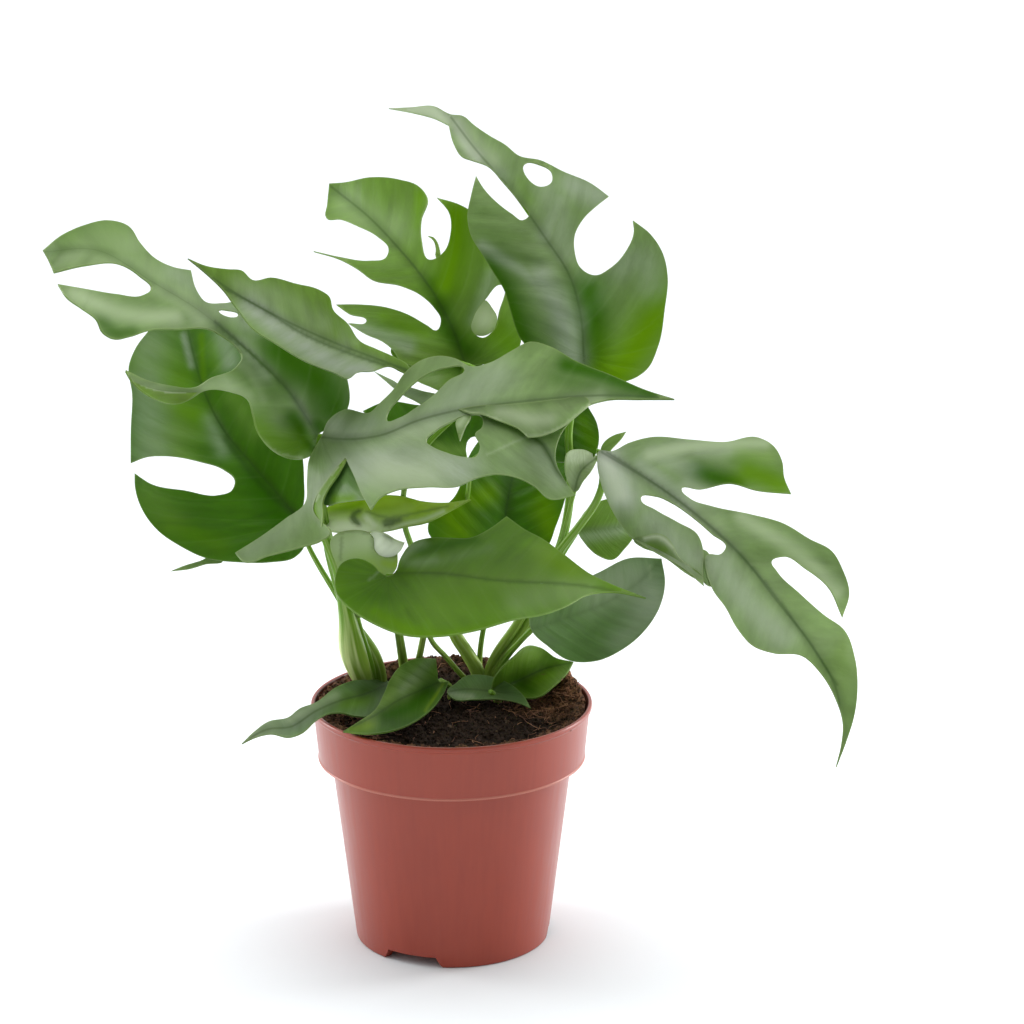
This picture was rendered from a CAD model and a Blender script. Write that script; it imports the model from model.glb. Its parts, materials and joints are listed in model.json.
"""The looks of a potted mini monstera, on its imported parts.

Lengths are in millimetres until a mesh is written, in metres. X runs to the right, Y away from the front
and Z up, from the centre of the pot's foot.
"""
import json
import math
from collections import namedtuple

import bpy
import bmesh
import numpy as np
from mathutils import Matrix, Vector, noise
from mathutils.geometry import delaunay_2d_cdt

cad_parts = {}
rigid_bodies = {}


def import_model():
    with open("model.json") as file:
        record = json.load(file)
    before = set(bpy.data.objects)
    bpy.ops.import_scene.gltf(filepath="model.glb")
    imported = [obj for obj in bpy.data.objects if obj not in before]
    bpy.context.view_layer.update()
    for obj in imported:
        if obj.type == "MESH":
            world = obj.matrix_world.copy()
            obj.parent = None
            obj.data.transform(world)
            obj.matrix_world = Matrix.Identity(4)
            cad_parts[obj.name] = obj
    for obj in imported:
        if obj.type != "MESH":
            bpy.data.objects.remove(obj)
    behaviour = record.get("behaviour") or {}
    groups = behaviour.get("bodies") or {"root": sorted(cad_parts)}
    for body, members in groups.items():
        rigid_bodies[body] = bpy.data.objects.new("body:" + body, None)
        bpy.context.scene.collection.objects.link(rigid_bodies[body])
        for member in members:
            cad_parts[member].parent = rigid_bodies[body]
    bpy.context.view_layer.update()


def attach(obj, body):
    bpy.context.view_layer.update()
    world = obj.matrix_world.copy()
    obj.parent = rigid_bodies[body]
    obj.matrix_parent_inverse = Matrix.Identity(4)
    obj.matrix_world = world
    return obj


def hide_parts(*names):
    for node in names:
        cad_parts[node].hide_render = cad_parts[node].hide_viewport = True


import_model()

MM = 0.001
FULL_TURN = 2 * math.pi

# Pot, a 12 cm nursery pot. BEAD is the thin line round the collar's foot.
POT_HEIGHT = 105.75
LIP_RADIUS = 60.0
LIP_HEIGHT = 2.0
LIP_WIDTH = 1.7
POT_EDGE = 0.7
FINE_EDGE = POT_EDGE / 2
FOOT_EDGE = POT_EDGE * 1.6
COLLAR_TOP_RADIUS = 59.0
COLLAR_FOOT_RADIUS = 57.0
COLLAR_HEIGHT = 24.3
COLLAR_FOOT = POT_HEIGHT - COLLAR_HEIGHT
BEAD = 0.3
BEAD_EDGE = 0.8 * BEAD
BODY_TOP_RADIUS = 51.6
FOOT_RADIUS = 41.6
FOOT_WIDTH = 4.0
FLOOR_HEIGHT = 5.0
WALL = 1.2
POT_STEPS = 240
EDGE_STEPS = 4
NOTCH_HEIGHT = 4.8
NOTCH_BELOW = 1.0
NOTCH_FOOT_ANGLE = 39.3
NOTCH_TOP_ANGLE = 30.6
NOTCH_FIRST = 245.7
NOTCHES = 3
NOTCH_DEPTH = 7.0
NOTCH_STEPS = 13
DRAIN_RADIUS = 4.0
DRAIN_RING = 26.0
DRAINS = 8
DRAIN_SIDES = 32

# Soil. It rises at the back and at the wall, to just under the rim, heaps up against the rim at the back and
# has a mound at the right. Its lumps are a long and a short wave, in radians to a millimetre, and its grit is
# a fractal with this roughness, this ratio between its layers and this number of them.
SOIL_GAP = 0.3
SOIL_LEVEL = 96.5
SOIL_RADIUS = 57.0
BACK_RISE = 8.0
BACK_START = 38.0
BACK_RAMP = 5.0
WALL_RISE = 8.4
WALL_START = 51.5
WALL_RAMP = 1.3
RIM_RISE = 8.2
HEAP_RISE = 3.0
HEAP_RADIUS = 53.0
HEAP_WIDTH = 2.2
HEAP_START = 45.0
HEAP_RAMP = 1.5
MOUND_RISE = 6.0
MOUND_X = 49.0
MOUND_Y = 27.0
MOUND_SPREAD = 9.0
LUMP_RISE = 0.7
LONG_WAVE_X, LONG_WAVE_Y, LONG_WAVE_START = 0.41, 0.37, 0.9
LONG_WAVE_BEND, LONG_WAVE_SWAY = 1.3, 0.23
SHORT_WAVE_X, SHORT_WAVE_Y, SHORT_WAVE_START = 0.83, 0.61, 2.0
SHORT_WAVE_SHARE = 0.7
GRIT_RISE = 1.5
GRIT_SIZE = 4.0
GRIT_LAYERS = (0.9, 2.1, 4)
SOIL_RINGS = 44
SOIL_STEPS = 220

# What lies on the soil: how many grow to a square metre, within this distance of the pot's axis. They stand
# closest on the mound and at the left, and thin out from THICKEST to THINNEST millimetres away from there.
# Fibres tilt and roll by up to so many radians, SPIN is about a full turn, and NOISE_MIDDLE is what is taken
# off the noise that bends them, so that they bend both ways, and a little more upwards.
SOIL_TOP = 90.0
THICKEST = 12.0
THINNEST = 40.0
CRUMBS = 420000.0
CRUMB_REACH = 56.0
CRUMB_SHARE = 0.8
CRUMB_SMALLEST = (0.3, 0.3, 0.3)
CRUMB_LARGEST = (1.3, 1.1, 0.8)
FIBRES = 120000.0
FIBRE_REACH = 53.0
FIBRE_SHARE = 0.06
FIBRE_SHORTEST, FIBRE_LONGEST = 4.0, 16.0
FIBRE_RADIUS = 0.14
FIBRE_BEND = (11.0, 11.0, 8.0)
FIBRE_TILT = 0.5
FIBRE_ROLL = 0.6
FIBRE_POINTS = 9
FIBRE_SIDES = 4
NOISE_MIDDLE = (0.5, 0.5, 0.45)
SPIN = 6.28
CRUMB_SEED, CRUMB_SIZE_SEED = 7, 5
FIBRE_SEED, FIBRE_TURN_SEED, FIBRE_LENGTH_SEED = 11, 3, 4

# Leaves and stalks. FOLD is how far a blade is creased back along its midrib, over FOLD_REACH to each side.
BLADE = 0.7
FOLD = 2.0
FOLD_REACH = 9.0
RIB_STEP = 3.0
RIB_CLEAR = 0.3
GRID_CLEAR = 0.45
GRID_ROW = 0.8
PLATE_UNIT = 100.0
STIFFNESS = 1e-4
LEAF_GRAIN = 1.3
OUTLINE_STEP = 1.2
STALK_SIDES = 18
STALK_STEP = 2.5
STALK_END = 0.35
UNDER_SHARE = 0.8
STEEP_STEP = 4.0
NECK_SWELL = 0.22
NECK_REACH = 7.0
SHEATH_SLIMMING = 0.15

# A direction that no tube starts out in.
ASKEW = (0.0, 1.0, 0.2)

# The viewer's eye, which the leaves were drawn from.
SIGHT_DISTANCE = 1500.0
SIGHT_ACROSS = 26.0
SIGHT_HEIGHT = 629.0

# Side veins leave the midrib at a slant: VEIN_LEAN along it for each millimetre away, and VEIN_CURL more
# towards the margin. Behind the leaf's base they fan out, VEIN_FAN radians apart. The blade is quilted
# between them, except within QUILT_CLEAR of its margin and its midrib.
VEINS_ON_RIB = 9.0
VEIN_LEAN = 0.62
VEIN_CURL = 0.006
VEIN_FAN = 0.33
QUILT = 0.28
QUILT_CLEAR = 4.0
RIB_REACH = 70.0
UNVEINED = 99.25

# Strokes of paint narrower than this get edges of the mesh along them.
CREASE_WIDTH = 1.3

# Folds stand out from their leaf, and sink HINGE_DEPTH into it at their hinge.
HINGE_DEPTH = 0.5
HINGE_REACH = 3.0

# Angles between faces, in degrees, from which an edge is shaded sharp.
POT_SHARP = 35.0
STALK_SHARP = 40.0
BLADE_SHARP = 60.0

# Patterns in the materials, in cells to a metre: leaf patches of 22 mm, and pores drawn at 1 mm because real
# ones would be lost; moulding streaks of 2 mm and clouds of 45 mm on the pot; bits of peat of 2 mm and pale
# grains of 2.4 mm; shades of coir of 6 mm, and bends of its fibres of 6 mm.
LEAF_PATCHES = 45.0
LEAF_PORES = 900.0
POT_STREAKS = 420.0
POT_CLOUDS = 22.0
PEAT_BITS = 480.0
PALE_GRAINS = 420.0
COIR_SHADES = 160.0
COIR_BENDS = 170.0

# Streaks along a leaf's side veins: steps of the pattern from one vein to the next, for each millimetre away
# from the midrib and for the patches. On a stalk: for each millimetre along it, and how much lighter its left
# side is.
STREAKS_BETWEEN_VEINS, STREAKS_FROM_RIB, STREAKS_IN_PATCHES = 3.2, 0.07, 2.0
STREAKS_ALONG_STALK = 0.01
LIGHTER_LEFT = 0.2

# Camera and studio, in metres and degrees. The room is white behind the plant and dimmer behind the camera:
# its strength grows with a ray's place along ROOM_SLOPE.
LENS = 130.6
SENSOR = 36.0
CAMERA_PLACE = (0.0258, -1.5, 0.6291)
CAMERA_PITCH = 16.33
ROOM_SLOPE = (0.7, 1.0, 0.9)
ROOM_DIM, ROOM_DIM_FROM = 0.10, -0.75
ROOM_BRIGHT, ROOM_BRIGHT_FROM = 1.0, 0.45
BOX_SIZE = (0.25, 0.6)
BOX_TARGET = (0.0, 0.0, 0.1)
SIDE_BOXES = {"left_box": ((-0.7, 0.25, 0.2), 3.6), "right_box": ((0.7, 0.25, 0.2), 5.0)}
CEILING_POWER = 1.9
CEILING_SPREAD = 55.0
CEILING_TILT = -6.0
FLOOR_REACH = 8000.0

Leaf = namedtuple("Leaf", "outline midrib relief stalk girth holes", defaults=[()])
Curl = namedtuple("Curl", "parent tissue lift hinge outline")
Brush = namedtuple("Brush", "kind width strength line")


def tip(across, up):
    """A sharp point of an outline; the other points are passed in a smooth curve."""
    return (across, up, True)


# Every leaf is drawn as it is seen from the front, across and up in the upright plane through the pot's
# axis. midrib, relief and stalk give a third number, how far behind that plane (+) or in front of it (-)
# the point lies. relief holds the blade's depth at places away from the midrib.
LEAVES = {
    "top": Leaf(
        outline=[(55.5, 252.5), (45.5, 255), (37.5, 258.5), (31.5, 262), (29.5, 264.5), (27.5, 269),
            (25, 277.5), (22.5, 285.5), (18, 293), (13.5, 300.5), (9, 308), (7.5, 316), (9, 325),
            tip(11, 333), (14, 328), (19.5, 322), (26, 317), (30, 314.5), (32.5, 316), (28.5, 322.5),
            (22, 330.5), (16, 337), (9.5, 339.5), (5.5, 341), (2, 346.5), tip(0, 354), (-5, 356.5),
            (-14, 359), tip(-24.5, 361), (-15, 361.5), (-6.5, 362), (1, 358.5), (5.5, 358), (10.5, 354),
            (17, 349.5), (23, 346), (28.5, 341.5), (37.5, 339.5), (46.5, 335), (58, 330), tip(65.5, 324.5),
            (60.5, 320.5), (55, 315), (51.5, 308), (51.5, 301.5), (54, 294.5), (59.5, 291.5), (67, 295),
            (73, 302), (76, 310), tip(75.5, 314.5), (82.5, 309), (88, 300.5), (90, 291.5), (89, 277),
            (86.5, 261.5), (81.5, 251), (74, 246.5), (64.5, 246.5)],
        midrib=[(55.5, 257, -4), (54, 274.5, -2), (49, 292, 2), (39.5, 307, 10), (25, 327.5, 22),
            (10.5, 344.5, 36), (1.5, 356.5, 46)],
        relief=[(-24.5, 361, 44), (11, 331.5, 24), (8.5, 312.5, 14), (23, 284.5, 6), (31, 262.5, 0),
            (65, 325, 34), (62, 291.5, 16), (78.5, 312, 30), (89, 291.5, 26), (85, 257.5, 12),
            (39.5, 336.5, 34), (58, 272.5, 4)],
        holes=[[(31, 338), (37.5, 337.5), (42, 334.5), (42, 330.5), (37.5, 328.5), (33.5, 330.5)]],
        stalk=[(13, 110.5, 33), (18.5, 120.5, 30), (32.5, 141, 14), (41, 162, 2), (47, 177.5, 0),
            (50, 195, 2), (50.5, 208, 5), (49.5, 223, 2), (51.5, 238.5, -1)],
        girth=(2.4, 1.5),
    ),
    "upper_left": Leaf(
        outline=[(6.5, 253), (-4, 253), (-16, 253), (-21, 255.5), (-23.5, 259.5), (-27.5, 263), (-35, 266.5),
            tip(-42, 271), (-34.5, 272), (-41.5, 275), tip(-47, 279), (-37, 279), (-27, 278), (-17.5, 275),
            (-9, 270), (-5.5, 268), (-3.5, 272), (-6.5, 278), (-12, 283), (-20.5, 287), (-32, 289.5),
            (-38, 294), (-45, 298), tip(-56, 301.5), (-45, 299), (-33, 297.5), (-26, 299), (-25, 302),
            (-30, 308), (-37.5, 312), (-45, 315), (-50.5, 315.5), (-50, 321), tip(-49, 330), (-42.5, 330.5),
            (-32.5, 332.5), (-20, 331.5), (-12, 328.5), (-9, 324), (-11.5, 314.5), (-11.5, 306.5), (-8, 298),
            (-2.5, 301), (0.5, 309), (0, 317.5), tip(-5, 324), (4.5, 321), (14, 314.5), (22, 303),
            (24, 291.5), (25.5, 277.5), (29.5, 264), (28, 259), (18.5, 254.5)],
        midrib=[(6.5, 253, 26), (1, 269.5, 30), (-5, 281.5, 36), (-12, 292, 46), (-21, 303, 60),
            (-32.5, 315.5, 76), (-48.5, 329, 101)],
        relief=[(-49.5, 317, 96), (-24, 331.5, 84), (-10, 325, 72), (-4, 323, 62), (12.5, 312.5, 56),
            (24, 291.5, 50), (28.5, 262, 38), (-43.5, 271, 40), (-45.5, 278.5, 46), (-53.5, 301.5, 72),
            (-21, 254.5, 30), (-8, 272.5, 38)],
        holes=[[(21.5, 287.5), (15, 281.5), (10, 274), (9, 268.5), (13.5, 265), (18, 268), (20.5, 276)]],
        stalk=[(12.5, 110.5, 33), (11, 119, 31), (6.5, 127.5, 29), (1.5, 136, 28), (0, 147.5, 29),
            (2.5, 162, 34), (5.5, 177.5, 39), (7, 192, 40), (6, 208, 36), (4, 223, 30)],
        girth=(3.2, 1.4),
    ),
    "far_left": Leaf(
        outline=[(-56, 222), (-56, 218), (-59.5, 213.5), (-64, 212.5), (-71.5, 214.5), (-77, 219),
            (-81, 225.5), (-82.5, 232), (-84.5, 238.5), (-91, 241.5), (-103, 242), (-108.5, 238.5),
            (-113.5, 236.5), (-123, 239), (-130, 243), tip(-135, 251), (-127, 247), (-116.5, 244.5),
            (-105.5, 244), (-100, 247.5), (-89, 252.5), (-86.5, 256.5), (-89, 261), (-94.5, 265.5),
            (-100, 268.5), (-112, 268.5), (-125, 268), (-132.5, 265.5), (-140, 264.5), (-144, 267),
            (-146.5, 272.5), (-152, 277), (-158.5, 282), tip(-162, 287.5), (-150.5, 285.5), (-138.5, 283.5),
            (-127, 283), (-123.5, 285.5), (-128, 291), (-136, 296), (-150.5, 295.5), tip(-163.5, 292.5),
            (-165, 297), tip(-167.5, 302), (-159.5, 308.5), (-150.5, 312.5), (-139.5, 314.5), (-132, 312),
            (-127.5, 305), (-121.5, 298.5), (-114.5, 295), tip(-107, 293.5), (-105, 285.5), (-101, 280),
            (-94, 279.5), (-84.5, 281), (-72.5, 276), (-58, 266), (-46.5, 257.5), (-43, 247.5), (-42.5, 236),
            (-47, 228)],
        midrib=[(-56, 222, -14), (-62.5, 235, -16), (-73, 249, -19), (-84.5, 259.5, -23), (-103.5, 276, -30),
            (-123, 288.5, -38), (-146, 302, -44), (-166.5, 301.5, -56)],
        relief=[(-139.5, 314, -30), (-163.5, 293, -58), (-161, 286.5, -82), (-140, 265.5, -78),
            (-125, 268, -62), (-134, 250.5, -92), (-113.5, 237, -76), (-82.5, 234, -48), (-69.5, 214, -38),
            (-107, 293.5, -14), (-82.5, 280, -2), (-54, 262, 10), (-43, 242.5, 8), (-86.5, 256.5, -38),
            (-99.5, 268.5, -46)],
        holes=[[(-95.5, 276.5), (-92, 276.5), (-87.5, 274.5), (-91, 273.5)]],
        stalk=[(-31.5, 107.5, 32), (-39, 133, 16), (-44.5, 151, 2), (-49, 168.5, -6), (-53.5, 190.5, -10),
            (-55, 208, -12)],
        girth=(2.2, 1.4),
    ),
    "low_left": Leaf(
        outline=[(-64.5, 186.5), (-62, 181.5), (-62, 174), (-65.5, 170), (-76.5, 167.5), (-89, 167.5),
            (-104, 169.5), (-114, 174.5), (-123.5, 181.5), (-129.5, 190), (-132.5, 200.5),
            tip(-132.5, 206.5), (-126, 202), (-111.5, 199), (-97.5, 197), (-92, 199), (-90.5, 203.5),
            (-95, 208), (-105, 211.5), (-119.5, 214), (-127.5, 213.5), tip(-134, 211), (-133.5, 225.5),
            (-132.5, 240.5), (-133.5, 253), (-130.5, 260.5), (-124.5, 268.5), (-119, 276), tip(-110.5, 280),
            (-101.5, 273.5), (-90.5, 266.5), (-83, 256.5), (-76, 243.5), (-67.5, 229.5), (-62.5, 216.5),
            (-61.5, 203.5), (-62, 192.5)],
        midrib=[(-64.5, 186.5, 14), (-71, 195, 16), (-82.5, 209.5, 19), (-94, 224, 22), (-102, 240.5, 26),
            (-107, 259.5, 34), (-110.5, 279.5, 44)],
        relief=[(-133, 247, 30), (-134, 214.5, 16), (-132, 199, 6), (-114, 175, -2), (-85, 167.5, -6),
            (-63, 174, 4), (-62, 203.5, 24), (-75, 242, 34), (-93, 263.5, 44), (-97.5, 204.5, 10)],
        stalk=[(-30, 107.5, 30), (-33.5, 127, 20), (-43, 143.5, 14), (-49, 154, 10), (-60, 174.5, 10)],
        girth=(2.2, 1.1),
    ),
    "narrow_left": Leaf(
        outline=[(-16.5, 249.5), (-20.5, 250.5), (-24.5, 252.5), (-32.5, 250.5), (-38.5, 250), (-42, 247.5),
            (-48.5, 250), (-60.5, 255), (-72.5, 262.5), (-81.5, 268.5), (-88, 277), (-94, 285.5),
            (-100.5, 292), tip(-108, 298.5), (-101, 295.5), (-91.5, 294), (-86, 293.5), (-81.5, 289.5),
            (-74, 290.5), (-64, 288), (-53.5, 285), (-50, 282.5), (-48.5, 277), (-42.5, 271), (-37.5, 263.5),
            (-30.5, 260), (-23, 256.5), (-17.5, 253)],
        midrib=[(-16.5, 250.5, -5), (-31, 256, -13), (-47.5, 262.5, -25), (-64, 270, -32), (-81, 279, -38),
            (-95, 288, -43), (-107, 297.5, -46)],
        relief=[(-82.5, 291, -32), (-62, 287.5, -20), (-50, 282.5, -16), (-37.5, 262.5, -12),
            (-81.5, 268.5, -50), (-60.5, 255, -42), (-42, 248, -30)],
        stalk=[(-17.5, 110.5, 33), (-13, 128.5, 22), (-11, 151, 2), (-16.5, 174, -8), (-19.5, 184.5, -12),
            (-18.5, 203.5, -14), (-10, 218.5, -14), (2.5, 231.5, -14), (12.5, 242.5, -16), (12, 250.5, -18),
            (5, 254, -16), (-4, 255.5, -12), (-11, 253.5, -8)],
        girth=(1.5, 0.9),
    ),
    "front": Leaf(
        outline=[(-54, 222), (-56, 218.5), (-59, 212.5), (-60, 203.5), (-61, 193.5), (-69.5, 186.5),
            (-79.5, 179), tip(-91, 171.5), (-88, 168), (-76.5, 170.5), (-63.5, 174), (-54.5, 177),
            (-50.5, 180.5), (-54, 185), (-57.5, 190), (-56, 196.5), (-51.5, 203.5), tip(-44, 213),
            (-40.5, 205.5), (-37, 197), tip(-33.5, 190.5), (-30, 195.5), (-23, 199), (-10.5, 200.5),
            (3.5, 201), (10, 204), (19, 206), (28, 204.5), (35.5, 200.5), (41, 195.5), tip(52.5, 197),
            (48, 203.5), (44, 213), (46, 223), (52, 231), (58, 236), (64.5, 238), (79, 238.5),
            tip(93.5, 238.5), (82.5, 242), (66.5, 249), (52, 255), (41.5, 261), (33.5, 263), (25.5, 259),
            (16.5, 254), (9, 252.5), (2, 256), (-4, 257), (-11, 255.5), (-18, 250.5), (-24, 242),
            (-29.5, 236.5), (-33, 233), (-44, 234), (-51, 229)],
        midrib=[(-54, 222, -24), (-44, 221, -30), (-30, 222.5, -38), (-12.5, 229.5, -48), (3, 233.5, -56),
            (23, 236.5, -64), (46, 239, -70), (68.5, 240, -75), (93.5, 238.5, -80)],
        relief=[(-32.5, 233, -24), (-3.5, 256.5, -12), (8.5, 252.5, -24), (33.5, 262.5, -18), (52, 255, -34),
            (71, 247, -54), (-90.5, 171, -62), (-59.5, 208, -34), (-44, 212.5, -52), (-50.5, 181, -66),
            (-33.5, 191.5, -86), (-10.5, 200.5, -88), (21, 206, -96), (52, 197.5, -104), (44, 214.5, -90),
            (58, 236, -80)],
        holes=[[(-26.5, 229.5), (-26, 232.5), (-21.5, 238.5), (-16, 244.5), (-9, 249.5), (-2, 252),
            (6, 251.5), (-0.5, 246.5), (-7.5, 239.5), (-14.5, 234.5), (-21, 230.5)], [(-10, 220), (-6, 225),
            (0, 228.5), (7, 231.5), (13, 231), (13.5, 226.5), (10.5, 223.5), (12.5, 218), (10.5, 213.5),
            (5.5, 213.5), (-2, 215.5), (-7.5, 218)]],
        stalk=[(-34.5, 107.5, 30), (-42, 128.5, 6), (-45, 148.5, -10), (-48, 165.5, -16), (-52, 177, -14),
            (-56.5, 189, -12), (-57, 203, -15)],
        girth=(4.8, 1.8),
    ),
    "drooping_right": Leaf(
        outline=[(62, 216), (61.5, 211.5), (62.5, 204.5), (65.5, 195.5), (69.5, 187.5), (77, 177.5),
            (86, 172), (99, 164), tip(107, 157), (106.5, 163), (106.5, 172.5), (104, 179.5), (95.5, 185),
            (86, 190.5), (80, 195), (80, 196), (86, 196.5), (93, 193.5), (101.5, 187.5), (110, 180),
            (116, 174), (114, 171), (108, 170.5), (108, 163), (111, 155), (116, 148), (121.5, 138),
            (128, 130.5), (137.5, 127), (149, 126), (157, 118.5), (164, 106.5), (167.5, 94.5), (167, 85.5),
            tip(165, 75.5), (169, 87.5), (172, 99), (173, 111.5), (171.5, 125), (166.5, 137.5),
            (158.5, 143.5), (147.5, 153.5), (138, 163), (135.5, 168), (140, 170), (150, 164.5),
            (159.5, 156.5), tip(166, 143), (168.5, 153.5), (165.5, 164), (160.5, 172.5), (151.5, 177.5),
            (140, 184.5), (126, 188.5), (110, 192), (100.5, 195.5), (97, 199.5), (104.5, 199.5),
            (117.5, 202), (128.5, 199), tip(143, 197.5), (140, 204.5), (139, 211.5), (135, 218.5),
            (128.5, 222), (115, 220), (100.5, 221), (83.5, 222), (74.5, 219.5), (67.5, 216)],
        midrib=[(62.5, 216, -22), (76.5, 207.5, -30), (89.5, 199, -38), (105, 187, -48), (121, 172, -62),
            (138, 150, -82), (154, 129, -98), (164, 110.5, -106), (165.5, 77, -102)],
        relief=[(79.5, 221, -14), (128.5, 221.5, -16), (142.5, 198, -34), (98, 200, -36),
            (156.5, 174.5, -52), (166, 143.5, -70), (136.5, 167.5, -60), (166.5, 137, -84),
            (172.5, 110.5, -98), (62.5, 203.5, -30), (77, 177.5, -56), (107, 157.5, -74),
            (120.5, 139.5, -92), (139, 127, -104)],
        stalk=[(13.5, 110.5, 33), (16.5, 120.5, 30), (28.5, 141, 12), (38.5, 159, 0), (47, 174, -6),
            (54.5, 184, -10), (62, 196, -16), (64, 204.5, -20)],
        girth=(2.2, 1.5),
    ),
    "front_heart": Leaf(
        outline=[(-26.5, 161), (-29.5, 162.5), (-33.5, 166.5), (-40, 169), (-46, 167), (-49, 161),
            (-48.5, 153.5), (-43, 147), (-32.5, 140), (-19.5, 135), (-5, 134.5), (10, 137), (27, 142),
            (40, 144.5), (49, 148), (58, 153), (69.5, 154), tip(82.5, 151.5), (68, 157.5), (59, 162),
            (48, 170.5), (38, 178), (31.5, 181.5), tip(23.5, 187.5), (15.5, 181.5), (8, 178), (-0.5, 178),
            (-9, 178), (-16.5, 175.5), (-21.5, 168.5), (-23.5, 163)],
        midrib=[(-26.5, 161, -52), (-13, 161.5, -57), (4, 160.5, -62), (25, 159, -66), (46, 157.5, -68),
            (67.5, 155, -66), (82.5, 151.5, -62)],
        relief=[(-40, 168.5, -48), (-48.5, 158.5, -66), (-33.5, 141, -88), (-5, 134.5, -102),
            (20.5, 140, -100), (46, 147, -86), (-9, 178, -34), (23.5, 187, -20), (48, 170, -42)],
        stalk=[(-19, 110.5, 33), (-20.5, 123, 27), (-22, 134, 10), (-24, 148.5, -24)],
        girth=(2.2, 1.3),
    ),
    "round_right": Leaf(
        outline=[(34, 137.5), (33.5, 143.5), (40, 151), (51, 157), (63, 163), (75, 169), tip(89, 169),
            (90.5, 158.5), (89, 149.5), (82.5, 137.5), (72.5, 128.5), (61.5, 123.5), (49.5, 124),
            (40.5, 130.5), (36, 134.5)],
        midrib=[(34, 137.5, -8), (48.5, 142.5, -16), (65, 149, -24), (80, 159, -24), (88.5, 168, -18)],
        relief=[(50.5, 156.5, -2), (75, 168.5, -10), (90.5, 155, -22), (74, 129.5, -34), (52.5, 123.5, -32)],
        stalk=[(14.5, 110.5, 33), (22.5, 124, 25), (29, 132, 8)],
        girth=(1.8, 1.1),
    ),
    "behind_centre": Leaf(
        outline=[(20.5, 168.5), (8, 172), (-4.5, 175), (-9.5, 181), (-8.5, 187), (-3, 192), (1, 195.5),
            (4, 201), (5.5, 208), (8, 214.5), (16.5, 225.5), (29, 233), (41, 231.5), (48.5, 221),
            (50.5, 208), (48, 195), (44.5, 184), (39.5, 173), (30, 169.5)],
        midrib=[(20.5, 168.5, 24), (22, 181.5, 26), (24, 195, 32), (26.5, 208, 42), (29, 233, 66)],
        relief=[(-8.5, 181.5, 16), (-0.5, 195, 22), (12.5, 221, 48), (46, 221, 56), (49.5, 199, 40),
            (39.5, 174, 26)],
        stalk=[(12, 110.5, 34), (12, 124, 32), (14, 139.5, 26), (18, 155, 24)],
        girth=(1.3, 1),
    ),
    "behind_front": Leaf(
        outline=[(6.5, 213), (-4.5, 214.5), (-15, 221), (-24.5, 226), (-32.5, 229.5), tip(-36.5, 233.5),
            (-27, 237.5), (-12.5, 236), (4, 236), (25, 239), (46, 239), tip(57.5, 235.5), (61.5, 227.5),
            (62, 219), (60, 213.5), (52, 211.5), (37.5, 211.5), (23, 210), (16.5, 212), (13, 216),
            (12.5, 219.5), (10, 222.5), (7.5, 221), (6.5, 217)],
        midrib=[(8, 211.5, 6), (16.5, 217.5, 8), (29, 223, 10), (44, 229.5, 14), (56.5, 235, 18)],
        relief=[(-33.5, 233.5, 18), (-12.5, 235.5, 14), (21, 238.5, 16), (61.5, 221, 8), (37.5, 212.5, 4),
            (-15, 221, 8)],
        stalk=[(11.5, 110.5, 34), (5.5, 116, 31), (-2, 125, 24), (-9, 134, 18), (-11, 144, 17),
            (-8.5, 156, 20), (-3.5, 167.5, 25), (2.5, 180, 28), (6.5, 194, 26), (8, 207, 14)],
        girth=(1.2, 1),
    ),
    "behind_right": Leaf(
        outline=[(53.5, 181.5), (55.5, 188.5), (61, 193.5), (70.5, 195), (77, 189.5), (78, 181.5), (73, 173),
            (68, 168.5), (63, 170), (56.5, 176)],
        midrib=[(53.5, 181.5, 10), (62, 182, 12), (70.5, 183, 16), (77.5, 186, 22)],
        relief=[(63, 193.5, 22), (67, 169, 8)],
        stalk=[(14.5, 110.5, 34), (24, 128.5, 24), (37.5, 151, 12), (47, 170.5, 8)],
        girth=(1.4, 0.9),
    ),
    "young_rolled": Leaf(
        outline=[(-53.5, 190), (-50.5, 192.5), (-44, 195), (-37, 197), (-29, 197), (-20.5, 196.5),
            (-11, 194), (-1.5, 193.5), tip(8.5, 195), (-2, 189), (-10, 185), (-19.5, 183), (-25.5, 181.5),
            (-34.5, 180.5), (-44.5, 180.5), (-52, 182), (-54, 186)],
        midrib=[(-53.5, 187.5, -6), (-42.5, 189.5, -12), (-29.5, 191, -18), (-15, 191.5, -22),
            (-2.5, 192.5, -24), (8.5, 195, -24)],
        relief=[(-43, 195.5, -8), (-17, 196, -18), (-47.5, 182.5, -18), (-25.5, 185.5, -28),
            (-8.5, 188.5, -30)],
        stalk=[(-32.5, 107.5, 30), (-42, 133, 14), (-48, 155, 0), (-52.5, 175, -4)],
        girth=(1.8, 1.2),
    ),
    "young_small": Leaf(
        outline=[(52, 198.5), (49.5, 202.5), (48, 210), (49.5, 216), (54.5, 217), tip(62, 213.5), (60, 209),
            (56, 203.5)],
        midrib=[(52, 199, -6), (54.5, 207, -4), (61, 213, 2)],
        relief=[(48.5, 211.5, -8), (58.5, 207, -6)],
        stalk=[(14, 110.5, 33), (20.5, 121.5, 28), (33.5, 142, 12), (44, 168.5, -2), (49.5, 188.5, -5)],
        girth=(1.2, 0.8),
    ),
    "rim_leaf": Leaf(
        outline=[(-27, 114), (-25.5, 110.5), (-28.5, 103.5), (-35, 98.5), (-41.5, 98.5), (-47.5, 100),
            (-53, 99.5), (-58, 96.5), (-64, 91), (-69.5, 89), (-77.5, 90.5), (-84, 89), tip(-90, 86),
            (-84.5, 91.5), (-78.5, 96), (-70, 98), (-65, 102), (-58.5, 104.5), (-49.5, 111.5),
            (-42.5, 114.5), (-34.5, 115)],
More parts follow.
